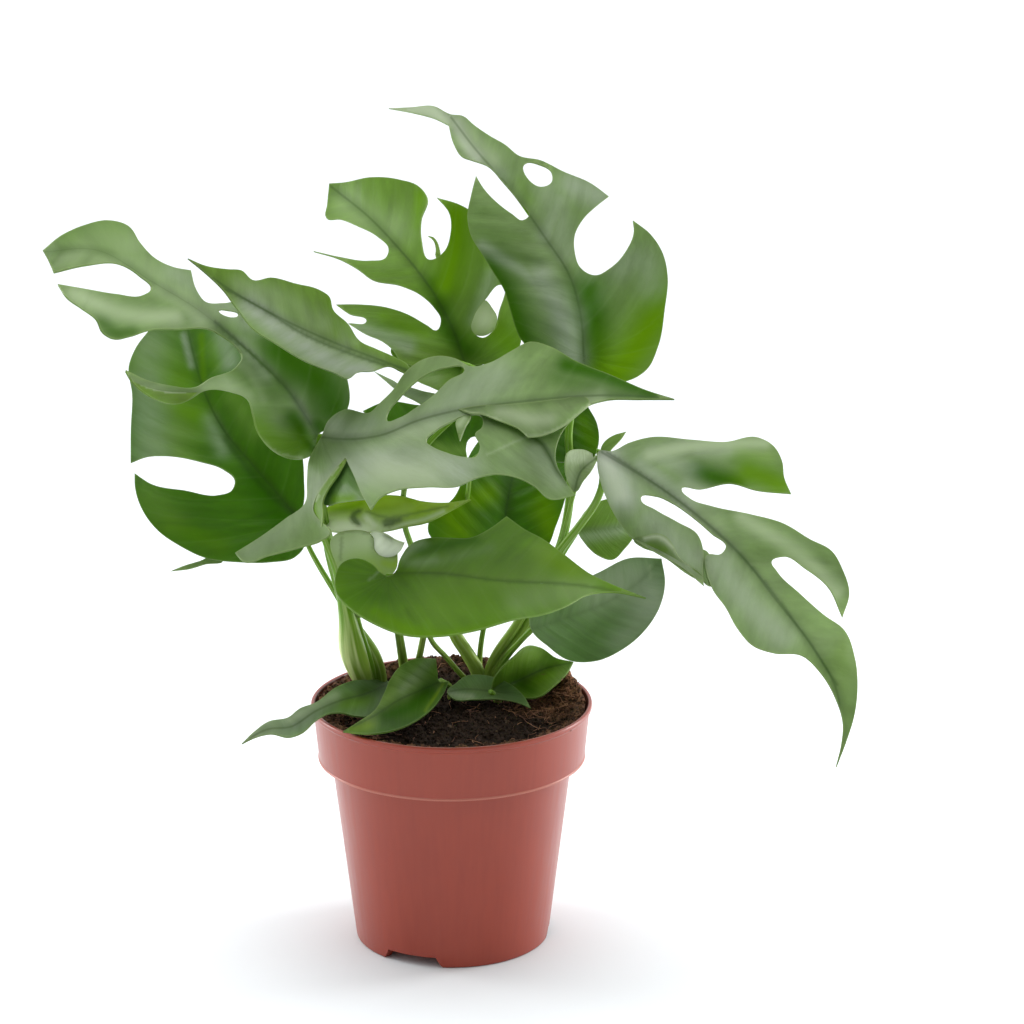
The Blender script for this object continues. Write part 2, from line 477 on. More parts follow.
        midrib=[(-27, 113, 22), (-37, 108.5, 4), (-47.5, 105.5, -14), (-58.5, 100.5, -34), (-69, 93.5, -48),
            (-78.5, 92.5, -58), (-89.5, 86.5, -66)],
        relief=[(-39, 114.5, 8), (-65, 102, -36), (-45.5, 100, -24), (-69.5, 89.5, -58), (-30.5, 102.5, -4)],
        stalk=[(-29.5, 107.5, 30)],
        girth=(1.6, 1.1),
    ),
    "folded_leaf": Leaf(
        outline=[(-5, 114), tip(-1, 114.5), (-3, 109.5), (-6.5, 104), (-13.5, 97.5), (-22, 93),
            (-33.5, 90.5), tip(-46.5, 91.5), (-39, 96.5), (-33, 101), (-29, 108.5), (-26, 115.5), (-22, 121),
            (-15.5, 124.5), tip(-6.5, 124.5), (-6, 118.5)],
        midrib=[(-4.5, 114.5, 14.5), (-13.5, 110, 7.5), (-22, 106, -3), (-31.5, 99.5, -22.5),
            (-45.5, 92, -49)],
        relief=[(-15.5, 124.5, 16), (-6.5, 124.5, 14.5), (-26, 115.5, 5.5), (-29, 108.5, -1),
            (-33.5, 91, -47.5), (-13.5, 98, -17.5), (-5, 107, 8)],
        stalk=[(0, 106.5, 25.5), (0, 110, 23.5), (-2, 113, 19)],
        girth=(1.5, 1.1),
    ),
    "dark_leaf": Leaf(
        outline=[(14.5, 117), (6, 116.5), (1.5, 113), (-2, 109.5), (0.5, 106.5), (10, 106), (20.5, 106),
            (28.5, 104.5), tip(34, 102), (31, 107.5), (26, 112.5), (20, 115.5)],
        midrib=[(15.5, 110, 15.5), (10, 110.5, 16), (4.5, 110.5, 14.5), (-1, 109.5, 11.5)],
        relief=[(6, 116.5, 24.5), (14.5, 117, 21.5), (26, 112.5, 15.5), (10, 106, 11.5), (20.5, 106, 11.5),
            tip(33.5, 102.5)],
        stalk=[(19.5, 106.5, 23.5), (17.5, 109, 16)],
        girth=(1.3, 1),
    ),
    "rising_leaf": Leaf(
        outline=[(17.5, 109.5), (17.5, 114), (20.5, 119.5), (26, 125), (33.5, 130.5), (38, 129.5),
            (44.5, 125), tip(52, 123), (49, 117.5), (43, 111.5), (38, 107.5), (29, 106.5), (22, 107)],
        midrib=[(18.5, 110.5, 16), (29, 115, 23.5), (40, 120, 28), (51, 122.5, 25.5)],
        relief=[(17.5, 114, 15), (20.5, 119.5, 11.5), (26, 125, 13), (33.5, 130.5, 23.5), (43, 111.5, 12.5),
            (38, 108, 9.5), (29, 106.5, 10), (23, 107, 14)],
        stalk=[(19.5, 106.5, 23.5)],
        girth=(1.4, 1),
    ),
    "young_sheath": Leaf(
        outline=[(-49.5, 179), (-42.5, 181.5), (-33, 179), (-31.5, 172), tip(-22.5, 172.5), (-23, 165),
            (-27.5, 159.5), (-33.5, 151), (-39.5, 143), (-44.5, 151), (-47.5, 164)],
        midrib=[(-41, 145.5, -4), (-40, 157.5, -22), (-40, 168.5, -28), (-41, 180.5, -30)],
        relief=[(-22.5, 172, -34), (-47, 166.5, -24), (-32.5, 177.5, -34)],
        stalk=[(-31.5, 107.5, 30), (-36.5, 126, 14)],
        girth=(2.4, 1.6),
    ),
}

# Folds and turned-back patches of leaf, each a blade of its own on its parent's surface: the parent, the
# tissue, how far it stands out, the line of its hinge and its outline.
CURLS = {
    "far_left_curl": Curl("far_left", "green", 1.6, [(-133, 248), (-122, 244), (-103, 243)],
        [tip(-135, 250.5), (-133, 248.5), (-129, 246.5), (-122, 244.5), (-112.5, 243), tip(-103, 243.5),
        (-106.5, 240.5), (-110.5, 237.5), (-117, 236.5), (-123, 238.5), (-129, 242.5), (-133.5, 247.5)]),
    "front_curl": Curl("front", "green", 1.6, [(-46.5, 211), (-57, 197), (-56, 183.5)], [tip(-43.5, 212.5),
        (-47.5, 210), (-52, 206), (-57, 200), (-58.5, 193.5), (-58, 188), tip(-54, 183), (-53.5, 188.5),
        (-53.5, 194.5), (-51, 200), (-47, 206)]),
    "drooping_curl": Curl("drooping_right", "sage", 1.6, [(78, 176), (92.5, 168.5), (108, 158)],
        [(77, 177.5), (82, 179), (87, 180), (91, 178.5), (94, 174.5), (96.5, 169.5), (101, 166),
        (105.5, 162.5), tip(108, 158.5), (103, 160.5), (99, 163), (92.5, 168), (86, 172), (80, 174.5)]),
    "front_underside": Curl("front", "dark", -5, [], [tip(-43, 214), (-38, 206), (-34, 200), tip(-32, 195.5),
        (-40, 194.5), (-47.5, 193.5), (-52.5, 192.5), (-54, 199), (-51.5, 205.5), (-47, 210)]),
    "front_fold": Curl("front", "sage", 1, [(3, 229.5), (7.5, 231.5)], [(2.5, 229), (5, 231.5), (8, 232),
        (6, 226), tip(4, 220.5), (3, 224.5)]),
    "front_tip_fold": Curl("front", "sage", 4.5, [(2.5, 235.5), (21, 238), (33.5, 238.5), (46, 240),
        (59, 240.5)], [tip(3.5, 234), (8.5, 232.5), (13.5, 232), (18.5, 230), (23.5, 228), (28, 226),
        tip(32.5, 222), (37.5, 222.5), (44, 225), (50, 229), (54, 232.5), tip(58.5, 236.5), (57.5, 238.5),
        (46, 238.5), (33.5, 237), (21, 236), (10.5, 235.5)]),
    "upper_left_tendril": Curl("upper_left", "green", 0.5, [(-3.5, 297), (-6.5, 299)], [tip(-9, 308),
        (-6.5, 307.5), (-5, 305.5), (-4, 302), tip(-3.5, 297), (-5.5, 299), (-5.5, 302.5), (-6.5, 306)]),
    "upper_left_patch": Curl("upper_left", "pale", -3, [], [(8.5, 273.5), (11, 278.5), (14, 281),
        (17.5, 277.5), (19.5, 273.5), (18.5, 269), (15, 266), (11, 266), (7.5, 269)]),
    "upper_left_base": Curl("upper_left", "green", -3, [], [(-24.5, 260), (-20.5, 261.5), (-10.5, 259.5),
        (2, 259.5), (12.5, 257), (12.5, 248.5), (3.5, 241), (-4, 242), (-8.5, 244), (-12, 245.5), (-16, 248),
        (-19, 251.5), (-22.5, 255.5)]),
    "upper_left_strip": Curl("upper_left", "sage", -4, [], [tip(-31.5, 250.5), (-27.5, 248.5),
        (-23.5, 246.5), (-20.5, 244.5), (-16, 243.5), (-11, 242), (-5, 240.5), (-1, 237.5), (-4, 233),
        (-9.5, 234.5), (-12.5, 236.5), (-16, 238.5), (-19, 240), (-23, 243), (-27.5, 247)]),
    "drooping_join": Curl("drooping_right", "sage", -1.2, [], [(104, 173), (107.5, 172.5), (110.5, 166),
        (112, 157), (109, 157), (105.5, 161), (103.5, 167.5)]),
    "young_cone": Curl("young_sheath", "pale", 0.8, [(-32.5, 179), (-31.5, 173)], [tip(-33.5, 181.5),
        (-30, 181), (-26.5, 179.5), (-23.5, 177.5), tip(-19.5, 176), (-21, 173), (-24, 170.5), (-27.5, 170),
        (-31, 171.5), (-33, 175)]),
    "behind_tip": Curl("drooping_right", "green", -6, [], [(63, 216), (64, 219.5), (67.5, 222.5),
        tip(73.5, 224.5), (72, 222), (68, 217.5), (65, 214.5)]),
    "low_left_tip": Curl("low_left", "sage", -4, [], [tip(-118.5, 163.5), (-112.5, 166), (-106, 168),
        (-99, 170.5), (-96.5, 168.5), (-104, 166.5), (-110.5, 164.5)]),
}

# The paint on each blade, stroke by stroke: its kind, its width, its strength and the line it follows.
STROKES = {
    "front": [
        ("bloom", 6, 0.7, [(-48, 227.5), (-41, 224.5), (-32.5, 227.5)]),
        ("bloom", 6, 0.15, [(23, 211.5), (33.5, 210)]),
        ("bloom", 9.5, 1, [(-42, 208), (-21, 211.5), (4, 208)]),
        ("bloom", 6, 0.4, [(-84.5, 173), (-67.5, 186), (-57, 203.5)]),
        ("deep", 5.5, 1, [(48.5, 253), (58.5, 250.5), (71, 246), (83.5, 241.5)]),
        ("deep", 5, 0.55, [(45, 247.5), (58.5, 245), (75, 241.5)]),
        ("bloom", 9.5, 0.6, [(-24.5, 226), (-10.5, 227.5), (4, 237.5), (18.5, 248.5)]),
        ("pale", 6, 0.5, [(-22, 224.5), (-10.5, 226)]),
        ("shade", 5, 0.25, [(-48.5, 216), (-40, 216)]),
        ("pale", 8.5, 0.6, [(-27.5, 206), (-19, 204.5), (-10.5, 205.5)]),
        ("pale", 3.5, 0.5, [(50, 235.5), (62.5, 239)]),
        ("shade", 1, 1, [(33.5, 222.5), (38, 219.5), (41.5, 214), (45, 207), (49, 202)]),
        ("pale", 0.5, 0.3, [(15.5, 214.5), (25, 219), (33.5, 223)]),
        ("shade", 3, 0.8, [(11.5, 229.5), (23, 228), (31, 224)]),
        ("bloom", 5, 0.5, [(35.5, 216.5), (46, 203.5)]),
    ],
    "front_tip_fold": [
        ("pale", 3, 0.5, [(21, 233), (35.5, 229.5), (41.5, 229.5)]),
        ("pale", 0.5, 0.6, [(3.5, 233.5), (18.5, 230), (32.5, 222.5), (44, 225), (58.5, 236.5)]),
    ],
    "top": [
        ("glow", 11, 1, [(88.5, 282), (83, 270.5), (75, 257.5), (67.5, 247)]),
        ("deep", 10, 1, [(57, 284.5), (60, 270.5), (62.5, 253.5)]),
        ("bloom", 5.5, 0.85, [(37.5, 291), (45, 277.5), (48.5, 265), (50.5, 255.5)]),
        ("deep", 8.5, 1, [(16, 294.5), (23.5, 282), (28.5, 268.5), (31, 260.5)]),
        ("pale", 4.5, 0.9, [(-20.5, 361), (-9.5, 361), (-0.5, 357)]),
        ("pale", 4.5, 0.6, [(4, 355.5), (11, 345.5), (17, 339.5)]),
        ("down", 4, 0.4, [(-20.5, 361), (-9.5, 361), (-1, 357.5)]),
        ("down", 2.5, 0.5, [(3, 354.5), (8.5, 344.5), (12, 341)]),
        ("bloom", 6, 0.4, [(40.5, 327.5), (45.5, 312.5), (48, 302)]),
        ("bloom", 2.5, 0.7, [(13.5, 304), (21, 299), (33, 291), (41.5, 281)]),
        ("pale", 1, 1, [(1.5, 357), (10.5, 344.5), (12.5, 341.5)]),
        ("bloom", 4, 0.5, [(12.5, 337.5), (21, 333.5)]),
        ("bloom", 7, 0.5, [(71, 296), (79.5, 297), (83.5, 287.5)]),
        ("bloom", 4, 0.5, [(45.5, 323), (39.5, 308.5)]),
        ("glow", 2.5, 0.3, [(30, 330.5), (33, 323)]),
        ("deep", 4.5, 0.5, [(56, 281), (58, 262)]),
        ("bloom", 6, 0.8, [(50.5, 329.5), (62, 325)]),
        ("shade", 2.5, 0.35, [(21, 304), (37.5, 297)]),
    ],
    "upper_left": [
        ("glow", 6, 1, [(2.5, 317), (2.5, 302), (-1, 287.5)]),
        ("deep", 5.5, 0.9, [(-6, 287.5), (-0.5, 268.5), (7.5, 259)]),
        ("glow", 5.5, 0.7, [(20, 268.5), (25, 262)]),
        ("pale", 8.5, 0.35, [(-43, 321), (-32.5, 314), (-22.5, 311.5)]),
        ("glow", 2.5, 0.7, [(-12, 325), (-13.5, 312.5)]),
        ("bloom", 3.5, 0.65, [(-38, 269), (-27, 265), (-17.5, 261.5)]),
        ("bloom", 3.5, 0.45, [(17.5, 291.5), (10.5, 272.5)]),
        ("glow", 3, 0.5, [(-27, 273.5), (-10.5, 267.5)]),
    ],
    "far_left": [
        ("pale", 7, 0.4, [(-160.5, 299.5), (-144, 306.5), (-131.5, 304)]),
        ("pale", 4, 0.75, [(-155, 283), (-136.5, 275.5), (-114, 273.5)]),
        ("deep", 13.5, 1, [(-70.5, 259), (-62.5, 252), (-52, 243.5), (-49.5, 236)]),
        ("deep", 6, 1, [(-55.5, 227.5), (-50.5, 221)]),
        ("glow", 6.5, 0.7, [(-80.5, 227.5), (-74.5, 221), (-66.5, 218.5)]),
        ("deep", 5, 1, [(-66, 230.5), (-62, 224.5), (-60.5, 219)]),
        ("bloom", 4.5, 0.6, [(-114.5, 293), (-97, 281), (-85, 271.5)]),
        ("shade", 0.5, 1, [(-97.5, 271.5), (-84.5, 259.5), (-66.5, 240.5), (-58.5, 227.5)]),
        ("glow", 7, 0.4, [(-155.5, 306.5), (-139.5, 308)]),
        ("pale", 2, 0.35, [(-102, 257.5), (-85.5, 252), (-78.5, 238.5)]),
        ("deep", 3.5, 0.7, [(-144, 271.5), (-137.5, 266.5), (-132, 267.5)]),
        ("bloom", 4, 0.6, [(-87, 262), (-78, 249)]),
        ("pale", 6.5, 0.35, [(-144, 297), (-132, 297), (-119.5, 289.5)]),
        ("pale", 4.5, 0.5, [(-119.5, 286), (-109.5, 280), (-103.5, 273.5)]),
        ("pale", 4, 0.5, [(-102, 244.5), (-92.5, 243.5), (-85, 240)]),
        ("pale", 0.5, 0.5, [(-81, 222.5), (-74, 216), (-63, 213)]),
    ],
    "narrow_left": [
        ("bloom", 6, 1, [(-82.5, 278.5), (-66.5, 265.5), (-45.5, 253), (-35.5, 250.5)]),
        ("pale", 5, 0.3, [(-86.5, 287.5), (-68, 281), (-54, 270.5)]),
        ("shade", 0.5, 0.7, [(-94, 286), (-77.5, 277), (-62, 267), (-37.5, 256.5), (-17.5, 250)]),
        ("glow", 2.5, 0.4, [(-49.5, 281), (-41.5, 266)]),
    ],
    "low_left": [
        ("light", 11, 0.6, [(-124.5, 259), (-119, 240.5), (-113, 227.5), (-119.5, 221)]),
        ("light", 5, 0.5, [(-89.5, 238.5), (-81.5, 225.5)]),
        ("light", 7, 0.35, [(-126.5, 195), (-118, 186)]),
        ("bloom", 8.5, 0.5, [(-125.5, 262), (-126, 229.5), (-125, 216.5)]),
        ("bloom", 1.5, 0.8, [(-110.5, 266), (-107.5, 253)]),
        ("glow", 1.5, 0.7, [(-103, 266), (-103, 247)]),
        ("bloom", 4.5, 0.6, [(-94.5, 266), (-91.5, 254.5)]),
        ("glow", 4.5, 0.7, [(-112.5, 234), (-103, 230.5)]),
        ("shade", 1.5, 0.8, [(-94, 221), (-79, 200.5), (-62.5, 185)]),
        ("shade", 1, 0.35, [(-122.5, 185), (-93, 184.5), (-72, 190.5)]),
        ("glow", 7.5, 0.7, [(-128, 254.5), (-120.5, 253), (-115, 247)]),
        ("glow", 3.5, 0.5, [(-98, 262), (-97.5, 253.5)]),
        ("bloom", 3.5, 0.5, [(-100.5, 229.5), (-95.5, 216.5)]),
        ("glow", 5, 0.35, [(-118, 184), (-97.5, 175)]),
        ("light", 6, 0.6, [(-117.5, 221), (-111, 211.5)]),
        ("deep", 7.5, 1, [(-81.5, 202.5), (-75, 192.5), (-70, 184)]),
    ],
    "drooping_right": [
        ("down", 4.5, 0.6, [(65, 213), (68, 206), (71, 197)]),
        ("down", 3.5, 0.25, [(99.5, 201.5), (105, 198.5), (110, 195)]),
        ("light", 6, 0.4, [(167.5, 128.5), (168, 110.5), (167, 97)]),
        ("bloom", 8, 1, [(65, 213), (70, 202.5), (73, 195)]),
        ("pale", 5, 0.2, [(65, 210), (68.5, 201.5)]),
        ("bloom", 4, 0.7, [(79.5, 210), (90, 201.5), (100.5, 192.5)]),
        ("deep", 5.5, 1, [(103.5, 207), (111, 204.5), (120.5, 202.5)]),
        ("deep", 4, 0.4, [(119, 211.5), (125.5, 209)]),
        ("glow", 6.5, 0.9, [(125, 207), (132, 204.5), (138.5, 201)]),
        ("pale", 3, 0.75, [(83.5, 214.5), (100.5, 218), (117, 219.5), (131.5, 219.5)]),
        ("bloom", 3.5, 0.5, [(104.5, 216.5), (116, 216.5)]),
        ("light", 4, 0.5, [(119, 214.5), (133, 214)]),
        ("pale", 3.5, 0.6, [(122.5, 187), (136.5, 178), (150, 168.5), (163, 154.5)]),
        ("bloom", 4.5, 0.5, [(85.5, 214.5), (100.5, 208)]),
        ("bloom", 6, 0.6, [(84, 186), (101, 168.5)]),
        ("bloom", 6.5, 0.65, [(113.5, 166.5), (124.5, 151), (140.5, 134)]),
        ("bloom", 2.5, 0.5, [(110, 168.5), (114.5, 155)]),
        ("shade", 0.5, 0.7, [(107, 169.5), (108, 157.5), (110.5, 151)]),
        ("shade", 0.5, 0.7, [(62.5, 217.5), (89.5, 199), (121, 171.5), (150, 134.5), (164, 113)]),
        ("bloom", 4.5, 0.4, [(104.5, 221), (79.5, 211.5)]),
        ("pale", 5, 0.35, [(100.5, 189.5), (111.5, 184)]),
    ],
    "front_heart": [
        ("light", 11, 0.65, [(-4.5, 151.5), (29, 157.5), (63, 159)]),
        ("glow", 5.5, 0.7, [(46, 166), (63, 158), (76.5, 154)]),
        ("bloom", 2.5, 0.55, [(-20, 169.5), (-17, 173), (-12, 176)]),
        ("bloom", 2.5, 0.35, [(-19, 167.5), (-14, 167), (-6.5, 168)]),
        ("bloom", 2.5, 0.15, [(-4.5, 167.5), (6, 170.5), (16.5, 173.5)]),
        ("deep", 3, 0.7, [(-12, 172.5), (-0.5, 175.5), (10, 177.5)]),
        ("fresh", 6, 0.3, [(39.5, 170.5), (52.5, 163)]),
        ("light", 5, 0.5, [(16.5, 152.5), (23, 150)]),
        ("glow", 7, 0.35, [(-4.5, 151), (29, 151), (46, 151)]),
        ("light", 5, 0.4, [(37.5, 172), (50.5, 166)]),
        ("glow", 3, 0.6, [(-32.5, 145.5), (-13.5, 135.5), (20.5, 137.5)]),
        ("pale", 7, 0.25, [(29, 149.5), (56.5, 155)]),
        ("pale", 0.5, 0.35, [(-34.5, 159.5), (-28.5, 165)]),
        ("shade", 0.5, 0.5, [(-24, 162.5), (-7, 162.5), (20.5, 159), (54.5, 157), (82.5, 151.5)]),
        ("deep", 6, 0.4, [(-43, 151), (-30, 151)]),
    ],
    "round_right": [
        ("pale", 13, 0.3, [(63, 155), (80, 151), (78, 133)]),
        ("bloom", 11, 0.8, [(65, 160.5), (79, 157.5), (84.5, 148.5)]),
        ("bloom", 5, 0.35, [(71.5, 133), (80, 139.5)]),
        ("pale", 0.5, 0.4, [(84, 166), (84.5, 160.5)]),
    ],
    "behind_centre": [
        ("fresh", 5, 0.35, [(37.5, 189.5), (42.5, 181)]),
        ("fresh", 7.5, 0.3, [(-2, 192.5), (2, 181.5)]),
        ("fresh", 5, 0.25, [(8, 195), (15.5, 198.5)]),
        ("glow", 5.5, 0.8, [(39.5, 195), (44.5, 179.5)]),
        ("shade", 3, 0.55, [(23, 204.5), (26, 181.5)]),
        ("glow", 8.5, 0.9, [(-0.5, 195), (3, 181.5)]),
        ("glow", 5, 0.8, [(10.5, 195), (15.5, 197)]),
    ],
    "behind_front": [
        ("glow", 4, 0.7, [(55.5, 229.5), (59.5, 219)]),
        ("light", 3.5, 0.9, [(-5, 217.5), (0, 216), (5, 216.5)]),
        ("shade", 2, 0.6, [(-5.5, 222.5), (2, 226)]),
        ("shade", 1.5, 0.5, [(51, 230.5), (50.5, 216.5)]),
    ],
    "behind_right": [
        ("bloom", 3, 0.6, [(52.5, 177.5), (71.5, 181.5)]),
    ],
    "young_small": [
        ("pale", 6.5, 0.75, [(51, 214), (55, 210.5), (52.5, 204.5)]),
        ("bloom", 5, 0.5, [(51, 214), (55, 210.5), (52.5, 204.5)]),
        ("pale", 0.5, 0.8, [(49, 214.5), (53.5, 217), (60.5, 213.5)]),
        ("shade", 1.5, 0.4, [(55, 200), (59.5, 208)]),
    ],
    "young_rolled": [
        ("fresh", 3, 0.8, [(-50.5, 193.5), (-42.5, 195.5), (-35.5, 196)]),
        ("fresh", 4.5, 0.95, [(-30.5, 194), (-21.5, 194), (-11, 192), (-0.5, 193)]),
        ("glow", 1.5, 0.9, [(-50, 191), (-43, 191.5), (-37.5, 193.5)]),
        ("glow", 1.5, 0.6, [(-30.5, 191), (-21.5, 192)]),
        ("pale", 4, 1, [(-52.5, 183), (-44.5, 183), (-35.5, 181.5), (-27.5, 181.5)]),
        ("down", 3.5, 0.45, [(-51.5, 182), (-44.5, 182.5), (-35.5, 181.5)]),
        ("pale", 2, 1, [(-35.5, 187), (-32.5, 184), (-27.5, 182)]),
        ("down", 1.5, 0.4, [(-35, 186), (-32.5, 183.5)]),
        ("pale", 1, 0.9, [(-26.5, 181.5), (-19.5, 184), (-11, 186), (-3, 189.5)]),
        ("shade", 1, 1, [(-38, 190), (-40.5, 189), (-41.5, 187), (-40.5, 185), (-38.5, 184)]),
        ("shade", 1, 1, [(-39, 189.5), (-40.5, 187.5), (-39, 185)]),
        ("shade", 1.5, 1, [(-27.5, 185), (-24.5, 185), (-21.5, 186)]),
        ("shade", 1, 1, [(-27.5, 183.5), (-24.5, 184)]),
        ("shade", 0.5, 0.8, [(-55, 195), (-54.5, 189.5), (-53, 184.5)]),
        ("shade", 0.5, 0.55, [(-35, 189.5), (-27, 187), (-16.5, 188.5), (-1, 192)]),
        ("fresh", 2, 0.8, [(-6, 192), (0.5, 193)]),
    ],
    "young_sheath": [
        ("pale", 6, 0.75, [(-46, 175.5), (-36.5, 177)]),
        ("fresh", 3, 0.45, [(-33.5, 166), (-31, 163)]),
        ("shade", 0.5, 0.7, [(-33, 179), (-32, 174), (-28, 170.5), (-23, 170.5)]),
        ("fresh", 2, 0.7, [(-28, 167.5), (-23.5, 166.5), (-20.5, 170.5)]),
        ("shade", 0.5, 0.7, [(-49, 180.5), (-42.5, 181.5), (-33, 180.5)]),
        ("shade", 0.5, 0.45, [(-46, 178.5), (-46.5, 168.5)]),
        ("light", 5, 0.8, [(-42.5, 175), (-36, 170.5)]),
    ],
    "young_cone": [
        ("down", 7.5, 1, [(-30, 176.5), (-25, 174.5), (-21.5, 174)]),
        ("shade", 1, 0.6, [(-27.5, 179.5), (-25, 178)]),
    ],
    "upper_left_base": [
        ("light", 6, 1, [(-11, 250.5), (-1.5, 247.5)]),
        ("pale", 3.5, 0.4, [(-11, 248.5), (-6, 247)]),
        ("deep", 3, 0.8, [(4, 253.5), (11.5, 252)]),
        ("glow", 3.5, 0.6, [(-14.5, 259.5), (-7.5, 259)]),
    ],
    "upper_left_strip": [
        ("bloom", 3, 0.6, [(-29, 249.5), (-16.5, 241.5), (-8.5, 237.5)]),
        ("shade", 1.5, 0.4, [(-21, 243.5), (-10.5, 240)]),
    ],
    "upper_left_patch": [
        ("pale", 7.5, 0.6, [(12.5, 273.5), (16, 271.5)]),
        ("down", 7.5, 0.45, [(12.5, 273.5), (16, 271.5)]),
    ],
    "front_underside": [
        ("shade", 2.5, 0.6, [(-52, 199), (-49, 204.5), (-45, 210)]),
        ("shade", 3.5, 0.2, [(-44.5, 201.5), (-41.5, 203.5)]),
        ("glow", 2.5, 0.9, [(-48, 195), (-41.5, 195.5)]),
        ("light", 2.5, 0.5, [(-36.5, 200), (-35.5, 196.5)]),
    ],
    "drooping_curl": [
        ("pale", 1, 0.9, [(82, 178), (88, 178.5), (93.5, 174), (101, 165)]),
        ("glow", 1.5, 0.5, [(84, 175), (90.5, 173)]),
    ],
    "far_left_curl": [
        ("glow", 1.5, 0.5, [(-129, 241.5), (-123, 239), (-114.5, 238.5)]),
        ("pale", 0.5, 0.9, [(-134, 249), (-125, 243.5), (-114.5, 242), (-104, 243)]),
    ],
    "front_curl": [
        ("glow", 1.5, 0.8, [(-55.5, 199), (-57.5, 192.5), (-56.5, 187)]),
        ("pale", 0.5, 0.8, [(-47, 209), (-54, 201), (-56.5, 195)]),
    ],
    "front_fold": [
        ("pale", 1.5, 0.7, [(4, 227.5), (6, 230.5)]),
    ],
    "folded_leaf": [
        ("light", 5, 0.9, [(-23, 117), (-27, 106), (-36.5, 98.5)]),
        ("light", 4, 0.9, [(-11, 122), (-7, 118.5)]),
        ("bloom", 2.5, 0.35, [(-9, 124), (-14.5, 117.5), (-21, 110.5)]),
        ("light", 7, 0.9, [(-9, 123), (-14.5, 117), (-20.5, 110.5)]),
        ("light", 2.5, 0.4, [(-6, 118.5), (-6, 110.5)]),
        ("deep", 4, 0.9, [(-28.5, 98.5), (-18, 102.5), (-10, 110.5)]),
        ("shade", 2, 0.4, [(-28.5, 96), (-18, 95.5), (-9, 102.5)]),
        ("fresh", 3, 0.8, [(-43.5, 93), (-36, 94.5)]),
        ("fresh", 0.5, 0.7, [(-4.5, 122), (-2.5, 117), (-5, 110.5), (-11.5, 100.5)]),
    ],
    "rim_leaf": [
        ("bloom", 6, 0.7, [(-86.5, 89), (-75.5, 93.5), (-62.5, 99)]),
        ("pale", 3, 0.6, [(-69, 97), (-56, 104), (-50, 107.5)]),
        ("glow", 4.5, 0.7, [(-45.5, 105), (-37, 106)]),
        ("deep", 3.5, 0.6, [(-37, 110.5), (-29.5, 110.5)]),
        ("light", 2.5, 0.9, [(-86.5, 89), (-75.5, 93.5)]),
        ("pale", 0.5, 0.5, [(-89.5, 86.5), (-78.5, 96), (-65, 102.5)]),
    ],
    "dark_leaf": [
        ("pale", 1.5, 0.6, [(-3, 109.5), (3, 108), (8.5, 107.5)]),
        ("light", 2.5, 0.35, [(8, 110.5), (18.5, 109.5)]),
        ("shade", 2, 0.5, [(20.5, 105), (29, 104)]),
    ],
    "rising_leaf": [
        ("light", 5, 0.9, [(35.5, 126), (41, 122), (47, 123)]),
        ("glow", 4.5, 0.6, [(37.5, 116), (46, 120.5)]),
        ("deep", 4, 0.8, [(27, 114), (33.5, 110.5)]),
    ],
}
PAINT = {name: [Brush(*stroke) for stroke in strokes] for name, strokes in STROKES.items()}


# What each blade is made of.
TISSUE_OF = {
    "top": "sage", "upper_left": "green", "far_left": "sage", "low_left": "deep",
    "narrow_left": "green", "front": "sage", "drooping_right": "sage", "front_heart": "bright",
    "round_right": "dark", "behind_centre": "deep", "behind_front": "deep", "behind_right": "green",
    "young_rolled": "young", "young_small": "pale", "young_sheath": "pale", "rim_leaf": "dark",
    "folded_leaf": "deep", "dark_leaf": "dark", "rising_leaf": "green",
}

# Each leaf tissue: the colour of its face, of its back and of the light that comes through it.
TISSUES = {
    "sage": ("#758E56", "#8FA67C", "#8FB43C"),
    "green": ("#6A8C2E", "#7E9F5C", "#84B020"),
    "bright": ("#5D840F", "#7E9F5C", "#86B80E"),
    "deep": ("#446F0C", "#6C8F4A", "#6FA80C"),
    "dark": ("#65874A", "#6C8A5A", "#6A8F2A"),
    "young": ("#86A828", "#9DB95A", "#B0CC30"),
    "pale": ("#8FA868", "#A5BA84", "#B6CC70"),
}

# What the paint on a blade does: how strongly it takes over and its colour. Light is thinner tissue; deep,
# glow and fresh are tissue that is lit through, bloom the grey of the waxy skin, pale a stretched fold, down
# the white felt on a leaf that unrolls and shade a fold in its own shadow.
BRUSHES = {
    "light": (0.9, "#86A64C"),
    "deep": (1.0, "#335F05"),
    "glow": (1.0, "#679203"),
    "fresh": (0.95, "#8DAE16"),
    "bloom": (0.9, "#A9B3A2"),
    "pale": (0.85, "#C0CDAC"),
    "down": (0.95, "#EEF1E8"),
    "shade": (0.85, "#26400F"),
}

STEMS = {
    "stem_left": ["front", "far_left", "low_left", "young_rolled", "young_sheath", "rim_leaf"],
    "stem_middle": ["front_heart", "narrow_left"],
    "stem_right": [
        "top", "upper_left", "drooping_right", "round_right", "behind_centre", "behind_front",
        "behind_right", "young_small",
    ],
    "seedling_left": ["folded_leaf"],
    "seedling_right": ["dark_leaf", "rising_leaf"],
}

# Foot of each leafy stem: x, y, radius and top height. Its top is capped, a little flattened.
CROWNS = {
    "stem_left": (-34.0, 29.0, 7.5, 103.0),
    "stem_middle": (-18.5, 32.5, 3.8, 104.0),
    "stem_right": (12.5, 33.0, 5.5, 104.0),
    "seedling_left": (0.0, 25.5, 2.2, 102.0),
    "seedling_right": (19.5, 23.5, 1.8, 102.0),
}
CROWN_FOOT = 84.0
CROWN_SIDES = 28
CROWN_RINGS = 8
CAP_RINGS = 6
CAP_TURN = 1.35
CAP_FLATNESS = 0.7

# Where a stalk swells into a sheath: how far up it, in millimetres, by how much and over what length.
SHEATHS = {
    "front": (38.0, 0.55, 20.0),
    "low_left": (14.0, 0.9, 22.0),
    "young_sheath": (30.0, 0.5, 18.0),
}

